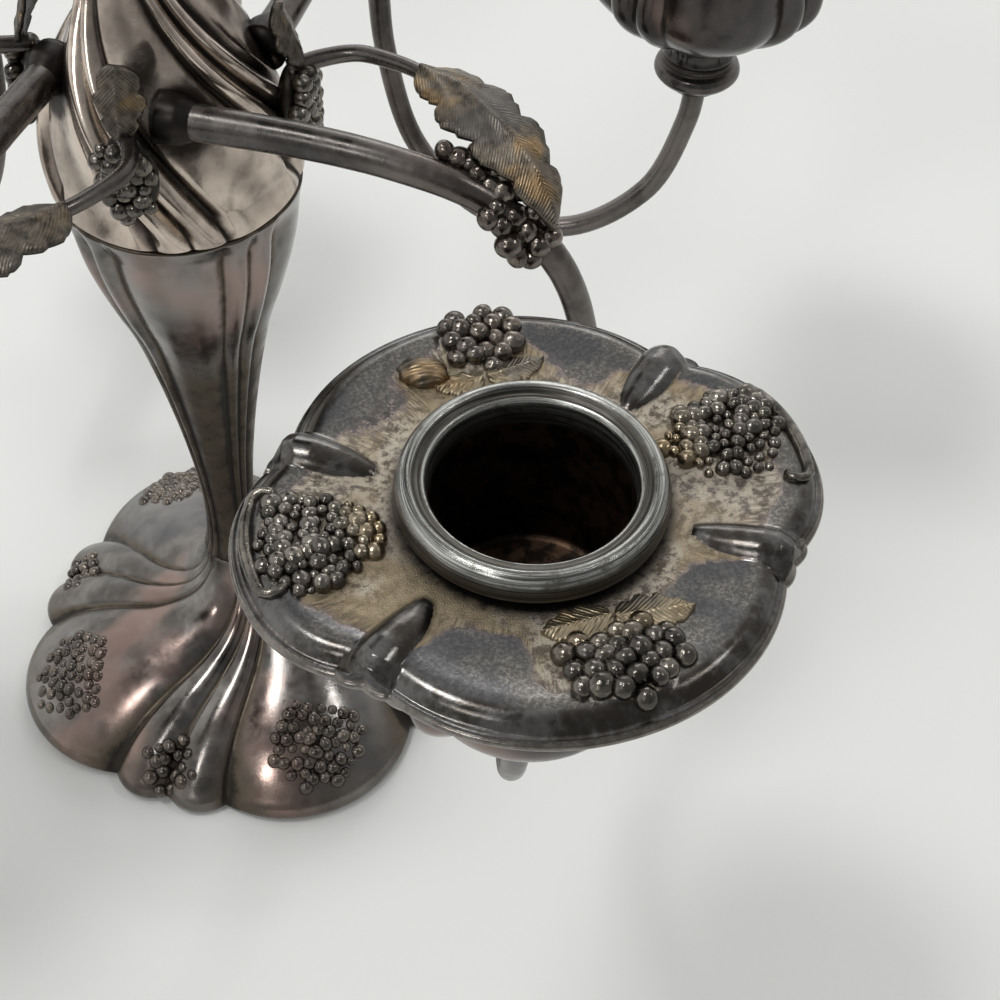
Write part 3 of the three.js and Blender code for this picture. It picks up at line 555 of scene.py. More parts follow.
def worn_rim():
    """Nozzle: rubbed silver with turning scratches, brown-black inside the bore."""
    f = Finish("worn_rim")
    recess = f.attribute("recess")
    grain = f.attribute("grain", "Vector")
    scratches = f.noise(1000, 4, 0.7, grain.scaled(9.0, 1.1, 1.1))
    long_marks = f.noise(1000, 3, 0.6, grain.scaled(2.6, 0.5, 0.5))
    blotches = f.noise(3.0, 5, 0.65)
    wear = scratches * 0.6 + long_marks * 0.4
    scratched = wear.ranged(0.42, 0.58)
    colour = scratched.mixed(RIM_SHADOW, BRIGHT_SILVER)
    colour = blotches.ranged(0.52, 0.68).mixed(colour, RIM_STAIN)
    colour = (f.noise(0.6, 4, 0.7).ranged(0.62, 0.72) * 0.8).mixed(colour, PIT_BROWN)
    grime = (recess + (blotches - 0.5) * 0.6).ranged(0.2, 0.85)
    colour = grime.mixed(colour, scratched.mixed(*GRIME_TONES))
    inside = blotches.ranged(0.42, 0.62).mixed(*BORE_TONES)
    colour = recess.ranged(0.9, 1.0).mixed(colour, inside)
    rough = wear.ranged(0.3, 0.7, 0.15, 0.32) + grime * 0.2
    return f.done(colour, rough, 0.95, f.bump(wear, 0.07, 0.6))


def leaf_plate():
    """Leaves: fine slanting veins on grey-brown plate with amber and gold where they are rubbed."""
    f = Finish("leaf_plate")
    recess = f.attribute("recess")
    grain = f.attribute("grain", "Vector")
    mottle = f.noise(1.6, 5, 0.66)
    drift = f.noise(9, 3, 0.55)
    slant = grain.part("X") - grain.part("Y") * VEIN_SLANT + mottle * 0.35
    veins = f.maths("MULTIPLY_ADD", f.maths("SINE", slant * (2 * math.pi / VEIN_PITCH)), 0.5, 0.5)
    colour = mottle.ranged(0.36, 0.64).mixed(*LEAF_TONES)
    colour = (grain.part("Z") * 0.75).mixed(colour, drift.mixed(*LEAF_GOLD_TONES))
    colour = (drift.ranged(0.52, 0.66) * 0.8).mixed(colour, AMBER)
    colour = (drift.ranged(0.46, 0.36) * 0.6).mixed(colour, LEAF_GREY)
    colour = (veins.ranged(0.5, 0.0) * 0.2).mixed(colour, VEIN_BROWN)
    # Black at the deepest recess: tarnish in the hollows, and painted shade on the underside
    colour = (recess + mottle * 0.4).ranged(0.8, 1.15).mixed(colour, SHADE_AND_TARNISH_BLACK)
    rough = mottle.ranged(0.3, 0.7, 0.26, 0.4) + recess * 0.1
    return f.done(colour, rough, 0.93, f.bump(veins + mottle * 1.6, 0.08, 0.6))


def plain_metal(name, low, high, roughness):
    f = Finish(name)
    cloud = f.noise(4, 4, 0.6)
    fine = f.noise(0.4, 2, 0.6, f.place.scaled(1, 1, 4))
    colour = cloud.ranged(0.35, 0.65).mixed(low, high)
    rough = cloud.ranged(0.3, 0.7, roughness, roughness + 0.15)
    return f.done(colour, rough, 0.95, f.bump(fine, 0.04, 0.4))


def felt_finish():
    f = Finish("felt_cloth")
    fibres = f.noise(0.3, 6, 0.7)
    colour = fibres.ranged(0.35, 0.65).mixed(*FELT_TONES)
    colour = (f.noise(3, 3, 0.6).ranged(0.55, 0.7) * 0.4).mixed(colour, FELT_DUST)
    f.shader.inputs["Sheen Weight"].default_value = 0.25
    return f.done(colour, 0.95, 0.0, f.bump(fibres, 0.25, 0.8))


def ballast_finish():
    f = Finish("pitch_ballast")
    lumps = f.noise(2.2, 5, 0.6)
    colour = lumps.ranged(0.35, 0.65).mixed(*PITCH_TONES)
    return f.done(colour, lumps.ranged(0.3, 0.7, 0.5, 0.8), 0.0, f.bump(lumps, 0.4, 0.6))


# Light and dark metal, hollows, copper, blue, roughness, and for grapes the share of fine mottling
PLATES = {
    "old_plate": (OLD_SILVER, SMOKE, UMBER, 0.6, 0.5, (0.15, 0.27)),
    # A darker copy of the plate: painted shade on the cups under the pans
    "shaded_cup_plate": ((0.085, 0.077, 0.073), (0.032, 0.029, 0.027), (0.025, 0.021, 0.018), 0.5, 0.2, (0.16, 0.3)),
    # A brighter copy of the plate: painted light on the dome
    "lit_dome_plate": ((0.66, 0.57, 0.49), (0.26, 0.215, 0.185), (0.045, 0.036, 0.03), 0.6, 0.1, (0.14, 0.25)),
    "dark_plate": ((0.165, 0.152, 0.142), (0.055, 0.05, 0.046), (0.035, 0.03, 0.026), 0.1, 0.15,
                   (0.22, 0.38)),
    "grape_plate": ((0.235, 0.215, 0.185), (0.06, 0.055, 0.048), (0.1, 0.085, 0.062), 0.12, 0.1, (0.13, 0.26),
                    0.75, True),
    "foot_grape_plate": ((0.21, 0.18, 0.152), (0.07, 0.06, 0.052), (0.075, 0.06, 0.046), 0.25, 0.1,
                         (0.18, 0.34), 0.6, True),
}
METALS = {
    "dull_brass": ((0.19, 0.14, 0.06), (0.47, 0.36, 0.17), 0.3),
    "plain_steel": ((0.2, 0.2, 0.2), (0.42, 0.42, 0.41), 0.3),
}


def make_finishes():
    made = [old_plate(name, *values) for name, values in PLATES.items()]
    made += [plain_metal(name, *values) for name, values in METALS.items()]
    made += [leaf_plate(), pan_plate(), worn_rim(), ballast_finish(), felt_finish()]
    return {material.name: material for material in made}


FINISHES = make_finishes()


# Candle nozzle

# How near the axis a closed profile ends
AXIS = 0.01
# Recess of an inside and of an edge in the shade
INSIDE = 1.2
SHADED = 0.9
BORE = 11.1
NOZZLE_TUBE = 12.2
NOZZLE_BOTTOM = -3.7
NOZZLE_FLOOR = -2.5
NOZZLE_BORE = (18.5, -1.7)
# The last points of the rim face the bore
RIM_INWARD = 8
BORE_DIRT = (20.1, 17.7)
RIM_DIRT = (20.45, 19.15)
RIM_GRIME = 0.88
TUBE_GRIME = 0.8
TUBE_BAND = 0.55
NOZZLE_SKIRT = [[12.2, 16.55], [13.3, 16.6], [13.45, 16.9], [13.5, 17.2]]
NOZZLE_RIM = [
    [13.7, 17.35], [14.25, 17.5], [14.6, 17.85], [14.65, 18.5], [14.6, 19.2], [14.4, 19.95], [14, 20.6],
    [13.5, 20.93], [13.05, 20.98], [12.65, 20.75], [12.35, 20.4], [12, 20.27], [11.7, 20.32], [11.4, 20.15],
    [11.2, 19.75], [11.1, 19],
]


def nozzle_shape():
    foot = softened([[AXIS, NOZZLE_BOTTOM], [NOZZLE_TUBE, NOZZLE_BOTTOM], NOZZLE_SKIRT[0]], 0.6)[:-1]
    outside = np.vstack([foot, spline(NOZZLE_SKIRT, 5), spline(NOZZLE_RIM, 5)])
    bore = [[BORE, z] for z in np.linspace(*NOZZLE_BORE, 12)]
    floor = [[BORE - 0.25, NOZZLE_FLOOR + 0.25], [BORE - 1, NOZZLE_FLOOR], [AXIS, NOZZLE_FLOOR]]
    profile = np.vstack([outside, bore, floor])
    radius, height = profile.T
    inner = np.arange(len(profile)) >= len(outside) - RIM_INWARD
    recess = np.where(inner, ramp(height, *BORE_DIRT), np.minimum(ramp(height, *RIM_DIRT), RIM_GRIME))
    recess = np.where(np.abs(radius - NOZZLE_TUBE) < TUBE_BAND, np.maximum(recess, TUBE_GRIME), recess)
    return revolved(profile, 128, recess=recess)


# Drip pan: angles are counted from its long axis

PAN_AXIS = 78.0
PAN_HOLE = 12.6
NARROW_LOBE = 32.4
WIDE_LOBE = 30.0
RIDGE_EDGE = 27.5
RIDGE_ANGLE = 34.0
LOBE_POWER = 2.5
RIDGE_LENGTH = 11.2
RIDGE_HALF_WIDTH = 2.9
RIDGE_BULGE = 1.0
RIDGE_BEND = 0.5
RIDGE_FOOT = 15.7
RIDGE_OVER = 0.3
RIDGE_TAPER = 2.4
RIDGE_TIP = 0.95
RIDGE_THINNEST = 0.01
# Crest of a ridge: [millimetres in from the edge, height]
RIDGE_CREST = [[0.0, 16.2], [0.8, 17.7], [1.8, 18.45], [3.4, 18.55], [6.0, 18.15], [9.0, 17.4], [11.2, 16.8]]
PAN_AROUND = 540
# The radius at which the grain counts millimetres round the pan
PAN_ARC = 24.0
# From the hole out: [radius, height, matted ground, 1 on the lip and -1 on the dark border]
# Matted values above 1 turn black: painted shade round the nozzle's foot and under the pan
PAN_INNER = [[PAN_HOLE, 16.15, 1.3, 0], [14.2, 16.28, 1.25, 0], [15.8, 16.4, 1.1, 0], [17.4, 16.5, 1.0, 0]]
# Over the edge and back under it: the same, with millimetres in from the edge for the radius
PAN_OUTER = [
    [7.8, 16.6, 0.9, 0], [6.4, 16.76, 0.74, 0], [5.2, 16.95, 0.5, 0], [4.2, 17.12, 0.2, 0],
    [3.3, 17.2, 0, -0.4], [2.5, 17.08, 0, -1], [1.8, 16.72, 0, -1], [1.25, 16.15, 0, -1],
    [0.9, 15.55, 0.1, -1], [0.7, 15.25, 0.6, 0], [0.35, 15.2, 0.2, 1], [0.08, 15, 0, 1], [0, 14.7, 0, 1],
    [0.1, 14.38, 0, 1], [0.5, 14.2, 0.5, 0.6], [1.3, 14.5, 1.2, 0], [2.6, 15.3, 1.2, 0],
    [4.2, 15.5, 1.2, 0], [6.4, 15.2, 1.2, 0],
]
PAN_UNDER = [[17.0, 14.95, 1.2, 0], [PAN_HOLE, 14.95, 1.2, 0]]
PAN_TOP_POINTS = 14
PAN_SPAN_STEPS = 4
RIDGE_FILLET = 0.22
# A ridge counts as raised between these heights above the skin, and bulges out this near the edge
RIDGE_RAISED = (-0.07, 0.28)
BULGE_REACH = 3.5
# Matted ground: less in the pools and more in the bed of a bunch; matted ground and painted shade along the
# foot of a ridge
POOL_DEPTH = 0.9
RIDGE_SHADE = 0.4
RIDGE_SHADE_WIDTH = 0.25
RIDGE_SHADE_MOST = 1.1
BED_SHADE = 0.95
FAR_BELOW = -9.0


def wrapped(angle):
    return (angle + 180) % 360 - 180


def pan_edge(angle):
    turn = angle % 180
    narrow = (turn < RIDGE_ANGLE) | (turn > 180 - RIDGE_ANGLE)
    half = np.where(narrow, RIDGE_ANGLE, 90 - RIDGE_ANGLE)
    middle = np.where(narrow, np.minimum(turn, 180 - turn), np.abs(turn - 90))
    crest = np.where(narrow, NARROW_LOBE, WIDE_LOBE)
    return crest - (crest - RIDGE_EDGE) * (middle / half) ** LOBE_POWER


def ridge_profile(radius, angle):
    """The nearest ridge at a place on the pan: its height there, and how near its middle line it is."""
    turn = angle % 180
    side = np.where(turn < 90, 1.0, -1.0)
    away = np.where(turn < 90, turn - RIDGE_ANGLE, turn - 180 + RIDGE_ANGLE)
    inward = np.clip((RIDGE_EDGE + RIDGE_OVER - radius) / RIDGE_LENGTH, 0, 1)
    half = RIDGE_HALF_WIDTH * np.sqrt(1 - inward ** RIDGE_TAPER) + RIDGE_THINNEST
    offset = radius * np.radians(away) + side * RIDGE_BEND * inward ** 2
    across = np.sqrt(np.clip(1 - (offset / half) ** 2, 0, 1)) * ramp(inward, 1, RIDGE_TIP)
    crest = np.interp(inward * RIDGE_LENGTH, *np.array(RIDGE_CREST).T)
    return RIDGE_FOOT + (crest - RIDGE_FOOT) * across, across


# Dark pools on the wide lobes: strength beside each bunch, how far round from its middle, and how wide
POOL_SIDES = {(90, -1): 0.6, (90, 1): 0.5, (270, -1): 1.5, (270, 1): 1.2}
POOL_AWAY = 34.0
POOL_WIDTH = 13.0
POOL_REACH = (16.6, 20.1)


def pool_share(radius, angle):
    share = np.zeros(np.broadcast(radius, angle).shape)
    for (middle, side), strength in POOL_SIDES.items():
        away = wrapped(angle - middle - side * POOL_AWAY)
        share += strength * np.exp(-(away / POOL_WIDTH) ** 4)
    return share * ramp(radius, *POOL_REACH)


# Bunches on the pan: start and end along the lobe, shift to the side, half width and how it grows outwards,
# size of the grapes and how much they differ
Bunch = namedtuple("Bunch", "start end side half taper size spread")
WIDE_BUNCH = Bunch(17.9, 27.9, 1.2, 6.5, -0.1, 1.28, 0.13)
UPPER_BUNCH = Bunch(20.4, 29.4, -2.8, 5.2, -0.1, 1.28, 0.13)
NARROW_BUNCH = Bunch(15.6, 29.6, 1.8, 6.2, 0.34, 0.92, 0.42)
LEFT_BUNCH = NARROW_BUNCH._replace(side=-1.8)
BUNCHES = {0: NARROW_BUNCH, 90: UPPER_BUNCH, 180: LEFT_BUNCH, 270: WIDE_BUNCH}
BUNCH_BED = 0.45
BUNCH_HEAP = 0.9
GOLD_REACH = 20.5
GOLD_FADE = 4.0
BUNCH_GOLD = 0.65
BALL_SINK = 0.12
LIFT_CHANCE = (-0.25, 0.2)


def bunch_share(bunch, out, across):
    """1 in the middle of a bunch, 0 on its outline and less outside it."""
    along = (2 * out - bunch.start - bunch.end) / (bunch.end - bunch.start)
    half = bunch.half * (1 + bunch.taper * along)
    return 1 - along ** 2 - ((across - bunch.side) / half) ** 2


def bed_share(radius, angle):
    """How much of a bunch's dark bed lies at a place on the pan."""
    share = np.full(np.broadcast(radius, angle).shape, FAR_BELOW)
    for middle, bunch in BUNCHES.items():
        away = np.radians(wrapped(angle - middle))
        here = bunch_share(bunch, radius * np.cos(away), radius * np.sin(away))
        share = np.where(np.abs(away) < 1, np.maximum(share, here), share)
    return np.clip(share * 3, 0, 1)


def pan_section(angle):
    """[radius, height, matted ground, lip] along the pan's skin at an angle."""
    edge = pan_edge(angle)
    outer = [[edge - inset, *others] for inset, *others in PAN_OUTER]
    return np.array(PAN_INNER + outer + PAN_UNDER)


def pan_height(radius, angle):
    section = pan_section(angle)[:PAN_TOP_POINTS]
    return float(np.interp(radius, section[:, 0], section[:, 1]))


# How much closer together the angles are on a ridge, and how far to its sides
RIDGE_DENSER = 2.5
DENSER_REACH = 8.0


def pan_angles():
    """Angles round the pan, closer together on the ridges."""
    turn = np.linspace(0, 360, 3601)
    ridges = np.array([RIDGE_ANGLE, 180 - RIDGE_ANGLE, 180 + RIDGE_ANGLE, 360 - RIDGE_ANGLE])
    nearest = np.abs(turn[:, None] - ridges).min(axis=1)
    density = 1 + RIDGE_DENSER * np.exp(-(nearest / DENSER_REACH) ** 4)
    walked = np.append(0, np.cumsum(density[:-1]))
    return np.interp(np.arange(PAN_AROUND) / PAN_AROUND * walked[-1], walked, turn)


def pan_shape():
    angles = pan_angles()
    sections = np.array([spline(pan_section(angle), PAN_SPAN_STEPS) for angle in angles])
    radius, height, matted, lip = (sections[:, :, k].T for k in range(4))
    upper = np.arange(len(radius))[:, None] < PAN_SPAN_STEPS * PAN_TOP_POINTS
    ridge, middle = ridge_profile(radius, angles)
    above = np.where(upper, ridge - height, FAR_BELOW)
    raised = ramp(above, *RIDGE_RAISED)
    filleted = (ridge + height + np.sqrt(above ** 2 + RIDGE_FILLET ** 2)) / 2
    bed = np.where(upper, bed_share(radius, angles), 0)
    height = np.where(above > -1.0, filleted, height) + BUNCH_BED * bed
    radius = radius + RIDGE_BULGE * middle ** 1.5 * ramp(pan_edge(angles) - radius, BULGE_REACH, 0)
    matted = matted - np.where(upper, POOL_DEPTH * pool_share(radius, angles), 0)
    most = np.maximum(matted, RIDGE_SHADE_MOST)
    shade = RIDGE_SHADE * np.exp(-(above / RIDGE_SHADE_WIDTH) ** 2)
    matted = np.minimum(matted * (1 - raised) + shade, most)
    lip = np.where(raised > 0.3, -1, lip)
    matted = np.where(bed > 0, np.maximum(matted, BED_SHADE * bed), matted)
    rings = polar(radius, np.radians(angles + PAN_AXIS), height)
    grain = stacked(np.radians(angles) * PAN_ARC, radius, np.clip(lip, -1, 1))
    return rings_shape(rings, True, matted, grain)


# Grapes and leaves on the pan

def bearing(out, across, middle):
    """Distance from the axis and angle of a place that lies out along a lobe's middle and off to the side."""
    return math.hypot(out, across), middle + math.degrees(math.atan2(across, out))


def pan_spot(out, across, middle, lift):
    radius, angle = bearing(out, across, middle)
    return polar(radius, math.radians(angle + PAN_AXIS), pan_height(radius, angle) + lift)


def pan_bunch(middle, bunch):
    def fits(out, across, ball):
        radius, angle = bearing(out, across, middle)
        return bunch_share(bunch, out, across) > 0.04 and radius < pan_edge(angle) - 0.9 - ball / 2

    reach = bunch.half * 1.35
    low, high = (bunch.start, bunch.side - reach), (bunch.end, bunch.side + reach)
    grapes = []
    for out, across, ball in heaped_spots(bunch.size, bunch.spread, low, high, fits):
        heap = bunch_share(bunch, out, across)
        lift = BUNCH_BED * min(1, 3 * heap) + BUNCH_HEAP * min(heap, 0.7) - BALL_SINK * ball
        lift += RANDOM.uniform(*LIFT_CHANCE)
        gold = BUNCH_GOLD * min(1, max(0, (GOLD_REACH - out) / GOLD_FADE))
        grapes.append(grape(pan_spot(out, across, middle, lift), ball, gold=gold))
    return grapes


# How deep the notches between a leaf's lobes and between its teeth are, as a share of its half width, and how
# soon after a notch the edge is widest
LEAF_NOTCH = 0.26
LEAF_TEETH = 0.07
LEAF_STEEP = 0.28
# How golden the pan's leaves are
PAN_LEAF_GOLD = 1.0


def saw(turns, steep):
    """A wave from 0 to 1 and back in each turn, its rise as long as steep."""
    phase = turns % 1
    return min(phase / steep, (1 - phase) / (1 - steep))


def leaf_patch(length, width, lobes, place, relief=0.55, sheet=0.7, along_steps=30, across_steps=14):
    """A veined leaf with a notched edge; place puts [along, across, height] in space."""
    upper, lower, recess, grain = [], [], [], []
    for i, j in np.ndindex(along_steps + 1, across_steps + 1):
        u, v = i / along_steps, j / across_steps * 2 - 1
        outline = math.sin(math.pi * min(1.0, 0.05 + 0.95 * u) ** 0.85) ** 0.7
        notch = 1 - LEAF_NOTCH * (1 - saw(lobes * u, LEAF_STEEP)) ** 1.4
        notch -= LEAF_TEETH * (1 - saw(3 * lobes * u, LEAF_STEEP))
        half = width / 2 * max(0.04, outline * notch)
        midrib = math.exp(-(v * half / (0.07 * width)) ** 2)
        vein = 0.5 + 0.5 * math.cos(2 * math.pi * lobes * (u - 1.1 * abs(v) * half / width))
        crown = (1 - v * v) ** 0.5
        high = relief * (0.55 * crown + 0.3 * vein ** 3 * crown + 0.5 * midrib)
        upper.append(place(u * length, v * half, high))
        lower.append(place(u * length, v * half, -sheet))
        recess.append(0.6 - 0.4 * vein ** 2 * crown - 0.5 * midrib)
        grain.append([u * length, abs(v) * half, 0])
    grid = (along_steps + 1, across_steps + 1, 3)
    return sheet_shape(np.reshape(upper, grid), np.reshape(lower, grid), recess, grain)


def pan_leaf(middle, radius, side, length, width, heading):
    """A leaf on the ground of the pan, its base at a spot and its tip turned by heading."""
    turn = math.radians(heading)

    def place(along, across, high):
        out = radius + along * math.cos(turn) - across * math.sin(turn)
        off = side + along * math.sin(turn) + across * math.cos(turn)
        return pan_spot(out, off, middle, 0.1 + high)

    leaf = leaf_patch(length, width, 4, place)
    leaf.grain[:, 2] = PAN_LEAF_GOLD
    return leaf


SCROLL_REACH = 10.5
SCROLL_INSET = 1.9
SCROLL_CURL = 2.8
SCROLL_CURL_TURN = 250
SCROLL_THICKNESS = 0.75
SCROLL_POINTS = 61
SCROLL_SHIFTS = {0: 0.0, 180: -6.0}
# The curl runs from 1 to this share of the reach
SCROLL_END = 1.3


def pan_scroll(middle, shift):
    """A raised line inside the edge of a narrow lobe, curled in at both ends."""
    path = []
    for share in np.linspace(-SCROLL_END, SCROLL_END, SCROLL_POINTS):
        turn = math.radians(shift + SCROLL_REACH * math.copysign(min(abs(share), 1.0), share))
        curl = math.radians(max(0.0, abs(share) - 1.0) / (SCROLL_END - 1) * SCROLL_CURL_TURN)
        radius = float(pan_edge(middle + math.degrees(turn))) - SCROLL_INSET
        across = radius * math.sin(turn) + math.copysign(SCROLL_CURL / 2 * math.sin(curl), share)
        out = radius * math.cos(turn) - SCROLL_CURL / 2 * (1 - math.cos(curl))
        path.append(pan_spot(out, across, middle, 0.3))
    taper = SCROLL_THICKNESS * (1 - 0.4 * np.abs(np.linspace(-1, 1, SCROLL_POINTS)) ** 3)
    line = tube(path, taper, 12, 0.1)
    return Shape(line.points, line.faces, line.recess)


CURLED_LEAF_OUT = 21.4
CURLED_LEAF_ACROSS = 5.2
CURLED_LEAF_SIZE = (2.9, 2.2, 1.5)
CURLED_LEAF_TURN = 60.0


def curled_leaf(middle):
    """A leaf rolled into a knob beside a wide bunch, with fine folds over it."""
    folds = 1 + 0.07 * np.cos(7 * BALL_POINTS[:, 1] * math.pi / 2)
    points = BALL_POINTS * CURLED_LEAF_SIZE * folds[:, None]
    recess = np.clip(0.95 - folds, 0, 1) * 3
    knob = Shape(points, BALL_FACES, recess, stacked(points[:, 1], points[:, 0] * 0.3, 0.0))
    place = pan_spot(CURLED_LEAF_OUT, CURLED_LEAF_ACROSS, middle, 0.4)
    return knob.turned(middle + PAN_AXIS + CURLED_LEAF_TURN).moved(place)


# Leaves beside the wide bunches: lobe, where the base lies out and to the side, length, width and heading
PAN_LEAVES = (
    (270, 16.9, 2.4, 7.6, 5.6, -92.0), (270, 17.2, 2.6, 8.2, 5.8, 80.0), (90, 18.6, -1.6, 7.0, 4.6, -84.0),
    (90, 18.6, -1.0, 5.6, 4.0, 88.0),
)


def pan_ornament():
    grapes = [ball for middle, bunch in BUNCHES.items() for ball in pan_bunch(middle, bunch)]
    grapes += [pan_scroll(middle, shift) for middle, shift in SCROLL_SHIFTS.items()]
    return joined(grapes), joined([curled_leaf(90)] + [pan_leaf(*leaf) for leaf in PAN_LEAVES])


# Cup, collar

CUP_OUTER = [
    [16.4, 14.6], [17.3, 14], [18.5, 11], [19.6, 6.6], [20.3, 2.8], [20.6, 0], [20, -3], [18, -5.9],
    [14.8, -8.6], [10.8, -11], [7.6, -13], [6, -14.6], [5.8, -15.9], [6.2, -17.2],
]
CUP_INNER = [
    [2.2, -17.2], [2.2, -14], [4.6, -14], [9.4, -9.4], [14, -6.4], [17, 0], [16.6, 6], [14.4, 12.4],
    [12.8, 13.6], [12.8, 14.6],
]
CUP_GROOVE = 0.073
CUP_TURN = -30.0
# Heights over which the cup's grooves start and end
CUP_FADE_IN = (14.2, 11.2)
CUP_FADE_OUT = (-16.5, -12.5)
# The first rings of the cup, the dome and the column are painted dark as shade where they meet the next piece
CUP_SHADED_RINGS = 6
DOME_SHADED_RINGS = 3
COLUMN_SHADED_RINGS = 7


def with_inside(outer, inner, depths, turns):
    """A lobed skin closed by a plain inside: its rings and their recess."""
    profile = np.vstack([outer, inner])
    depths = np.append(depths, np.zeros(len(inner)))
    turns = np.append(turns, np.full(len(profile) - len(turns), turns[-1]))
    rings, recess = lobed_rings(profile, depths, turns)
    recess[len(outer):] = INSIDE
    return rings, recess


def cup_shape():
    outer = spline(CUP_OUTER, 5)
    height = outer[:, 1]
    depths = CUP_GROOVE * ramp(height, *CUP_FADE_IN) * ramp(height, *CUP_FADE_OUT)
    rings, recess = with_inside(outer, softened(CUP_INNER, 1.2), depths, [CUP_TURN])
    recess[:len(outer)] *= (depths[:, None] > 0) * 0.9
    recess[:CUP_SHADED_RINGS] = SHADED
    return rings_shape(rings, True, recess)


COLLAR = [
    [2.25, -17.5], [5.8, -17.5], [6.2, -18.2], [6, -18.8], [7, -19.3], [7.4, -20.2], [7.4, -21], [6.6, -22],
    [5.4, -22.7], [4.9, -23.4], [4.4, -23.9], [2.25, -23.9],
]


def collar_shape():
    profile = softened_loop(COLLAR, 0.35)
    return revolved(profile, 72, loop=True, recess=ramp(profile[:, 0], 7.04, 5.44))


# Arm

ARM_LINE = [
    [12.6, -5.6, 14.9], [18.8, -0.1, 15.3], [27.6, 7.8, 15.7], [36.8, 16.4, 14.8], [44.3, 24.7, 11.2],
    [50.4, 32.2, 2.6], [53, 36.2, -10.5], [54.2, 36.4, -25], [57.4, 31.4, -43.4], [66, 21, -55.2],
    [78, 10.1, -56.1], [89.4, 2.8, -46.7], [94.5, 0.3, -32.5], [95.4, 0, -26.9], [95.4, 0, -21.3],
]
ARM_RADII = [2.6, 1.85, 1.95]


def arm_shape():
    path = spline(ARM_LINE, 10)
    return tube(path, np.interp(np.linspace(0, 1, len(path)), [0, 0.5, 1], ARM_RADII), 24)


# Vine on each arm

TENDRIL_LINE = [
    [11.4, 13.8, 14.8], [12.6, 18.8, 15.6], [14.9, 22.7, 16.3], [19.2, 25.2, 16.9], [24, 27, 17.4],
    [29, 27.7, 17.6],
]
TENDRIL_RADIUS = 1.3
LEAF_LINE = [
    [24.6, 27.2, 17.4], [30, 28.8, 18.3], [35.5, 29.2, 18.5], [41, 29.9, 17.6], [46.4, 30.6, 15.4],
    [50.6, 30.8, 12.4], [53, 30.4, 9.6],
]
LEAF_WIDTH = 12.0
LEAF_FACING = (0.3, 0, 1)
# Out along the arm, sideways, height and radius
VINE_GRAPES = [
    [38.6, 22.6, 15.6, 1.5], [40.1, 23.9, 15.1, 1.6], [41.3, 25, 14.6, 1.4], [40.2, 26.6, 14.9, 1.5],
    [41.4, 27.5, 14.5, 1.6], [42.7, 25.3, 13.8, 1.5], [43.4, 27.6, 13.6, 1.5], [44.5, 28.6, 13.2, 1.6],
    [44.2, 26.2, 12.6, 1.5], [45.6, 27.4, 11.8, 1.7], [46, 29.6, 11.6, 1.6], [46.4, 25.6, 10.8, 1.5],
    [46.9, 24.2, 9.8, 1.6], [47.6, 27.9, 9.2, 1.8], [48.4, 30.4, 9.4, 1.6], [47.8, 25.6, 8.6, 1.6],
    [49, 31.6, 8.2, 1.5], [49.3, 28.8, 7.2, 1.7], [49.4, 26, 6.4, 1.9], [50.6, 29.8, 5.6, 1.7],
    [50.2, 26.8, 4.8, 1.7], [51.2, 31.4, 6.6, 1.5], [50.8, 28.6, 3.9, 1.5], [43, 29.4, 14.6, 1.4],
]


def long_leaf(line, width, lobes, cupping, relief, sheet, steps):
    """A leaf that follows a line, curled down at its sides."""
    path = spline(line, 8)
    walked = walked_along(path)
    tangents = unit(np.gradient(path, axis=0))
    sides = unit(np.array([0, 1, 0]) - tangents * tangents[:, 1:2])
    faces = np.cross(tangents, sides)
    faces *= np.sign(faces[len(faces) // 2] @ LEAF_FACING)
    columns = np.hstack([path, sides, faces]).T

    def place(along, across, high):
        point, side, face = np.reshape([np.interp(along, walked, column) for column in columns], (3, 3))
        bend = cupping * (2 * across / width) ** 2 * width / 2
        return point + side * across + face * (high - bend)

    return leaf_patch(walked[-1], width, lobes, place, relief, sheet, steps, 20)


def vine_shapes():
    stem = tube(spline(TENDRIL_LINE, 6), np.linspace(TENDRIL_RADIUS, TENDRIL_RADIUS * 0.75, 31), 14, 0.3)
    leaf = long_leaf(LEAF_LINE, LEAF_WIDTH, 4, 0.14, 1.1, 0.5, 84)
    return joined([grape(place, radius) for *place, radius in VINE_GRAPES]), leaf, stem


# Shoulder ornament between two arms

SHOULDER_AZIMUTH = 51.0
SHOULDER_LEAF = [[17.2, 0, 25.0], [17.6, 0, 22.6], [18.6, 0, 20.0], [19.4, 0, 17.4], [19.8, 0, 14.8]]
SHOULDER_LEAF_WIDTH = 7.5
SHOULDER_GRAPE = 1.25
SHOULDER_SPREAD = 0.22
SHOULDER_BOTTOM = 1.6
SHOULDER_TOP = 15.6
SHOULDER_HALF = 4.2
SHOULDER_RADIUS = 19.6
# The bunch bulges by this much at a height, less to its sides and ends, and follows the dome's roundness
SHOULDER_HEAP = 1.5
SHOULDER_HEIGHT = 9
HEAP_SIDE = 6.5
HEAP_END = 8
DOME_ROUNDNESS = 42
# Ball painted black as shade behind the grapes: half sizes and middle
SHOULDER_SHADE_CORE = (2.2, 3.78, 6.6)
SHOULDER_MIDDLE = (18.2, 0, 8.8)


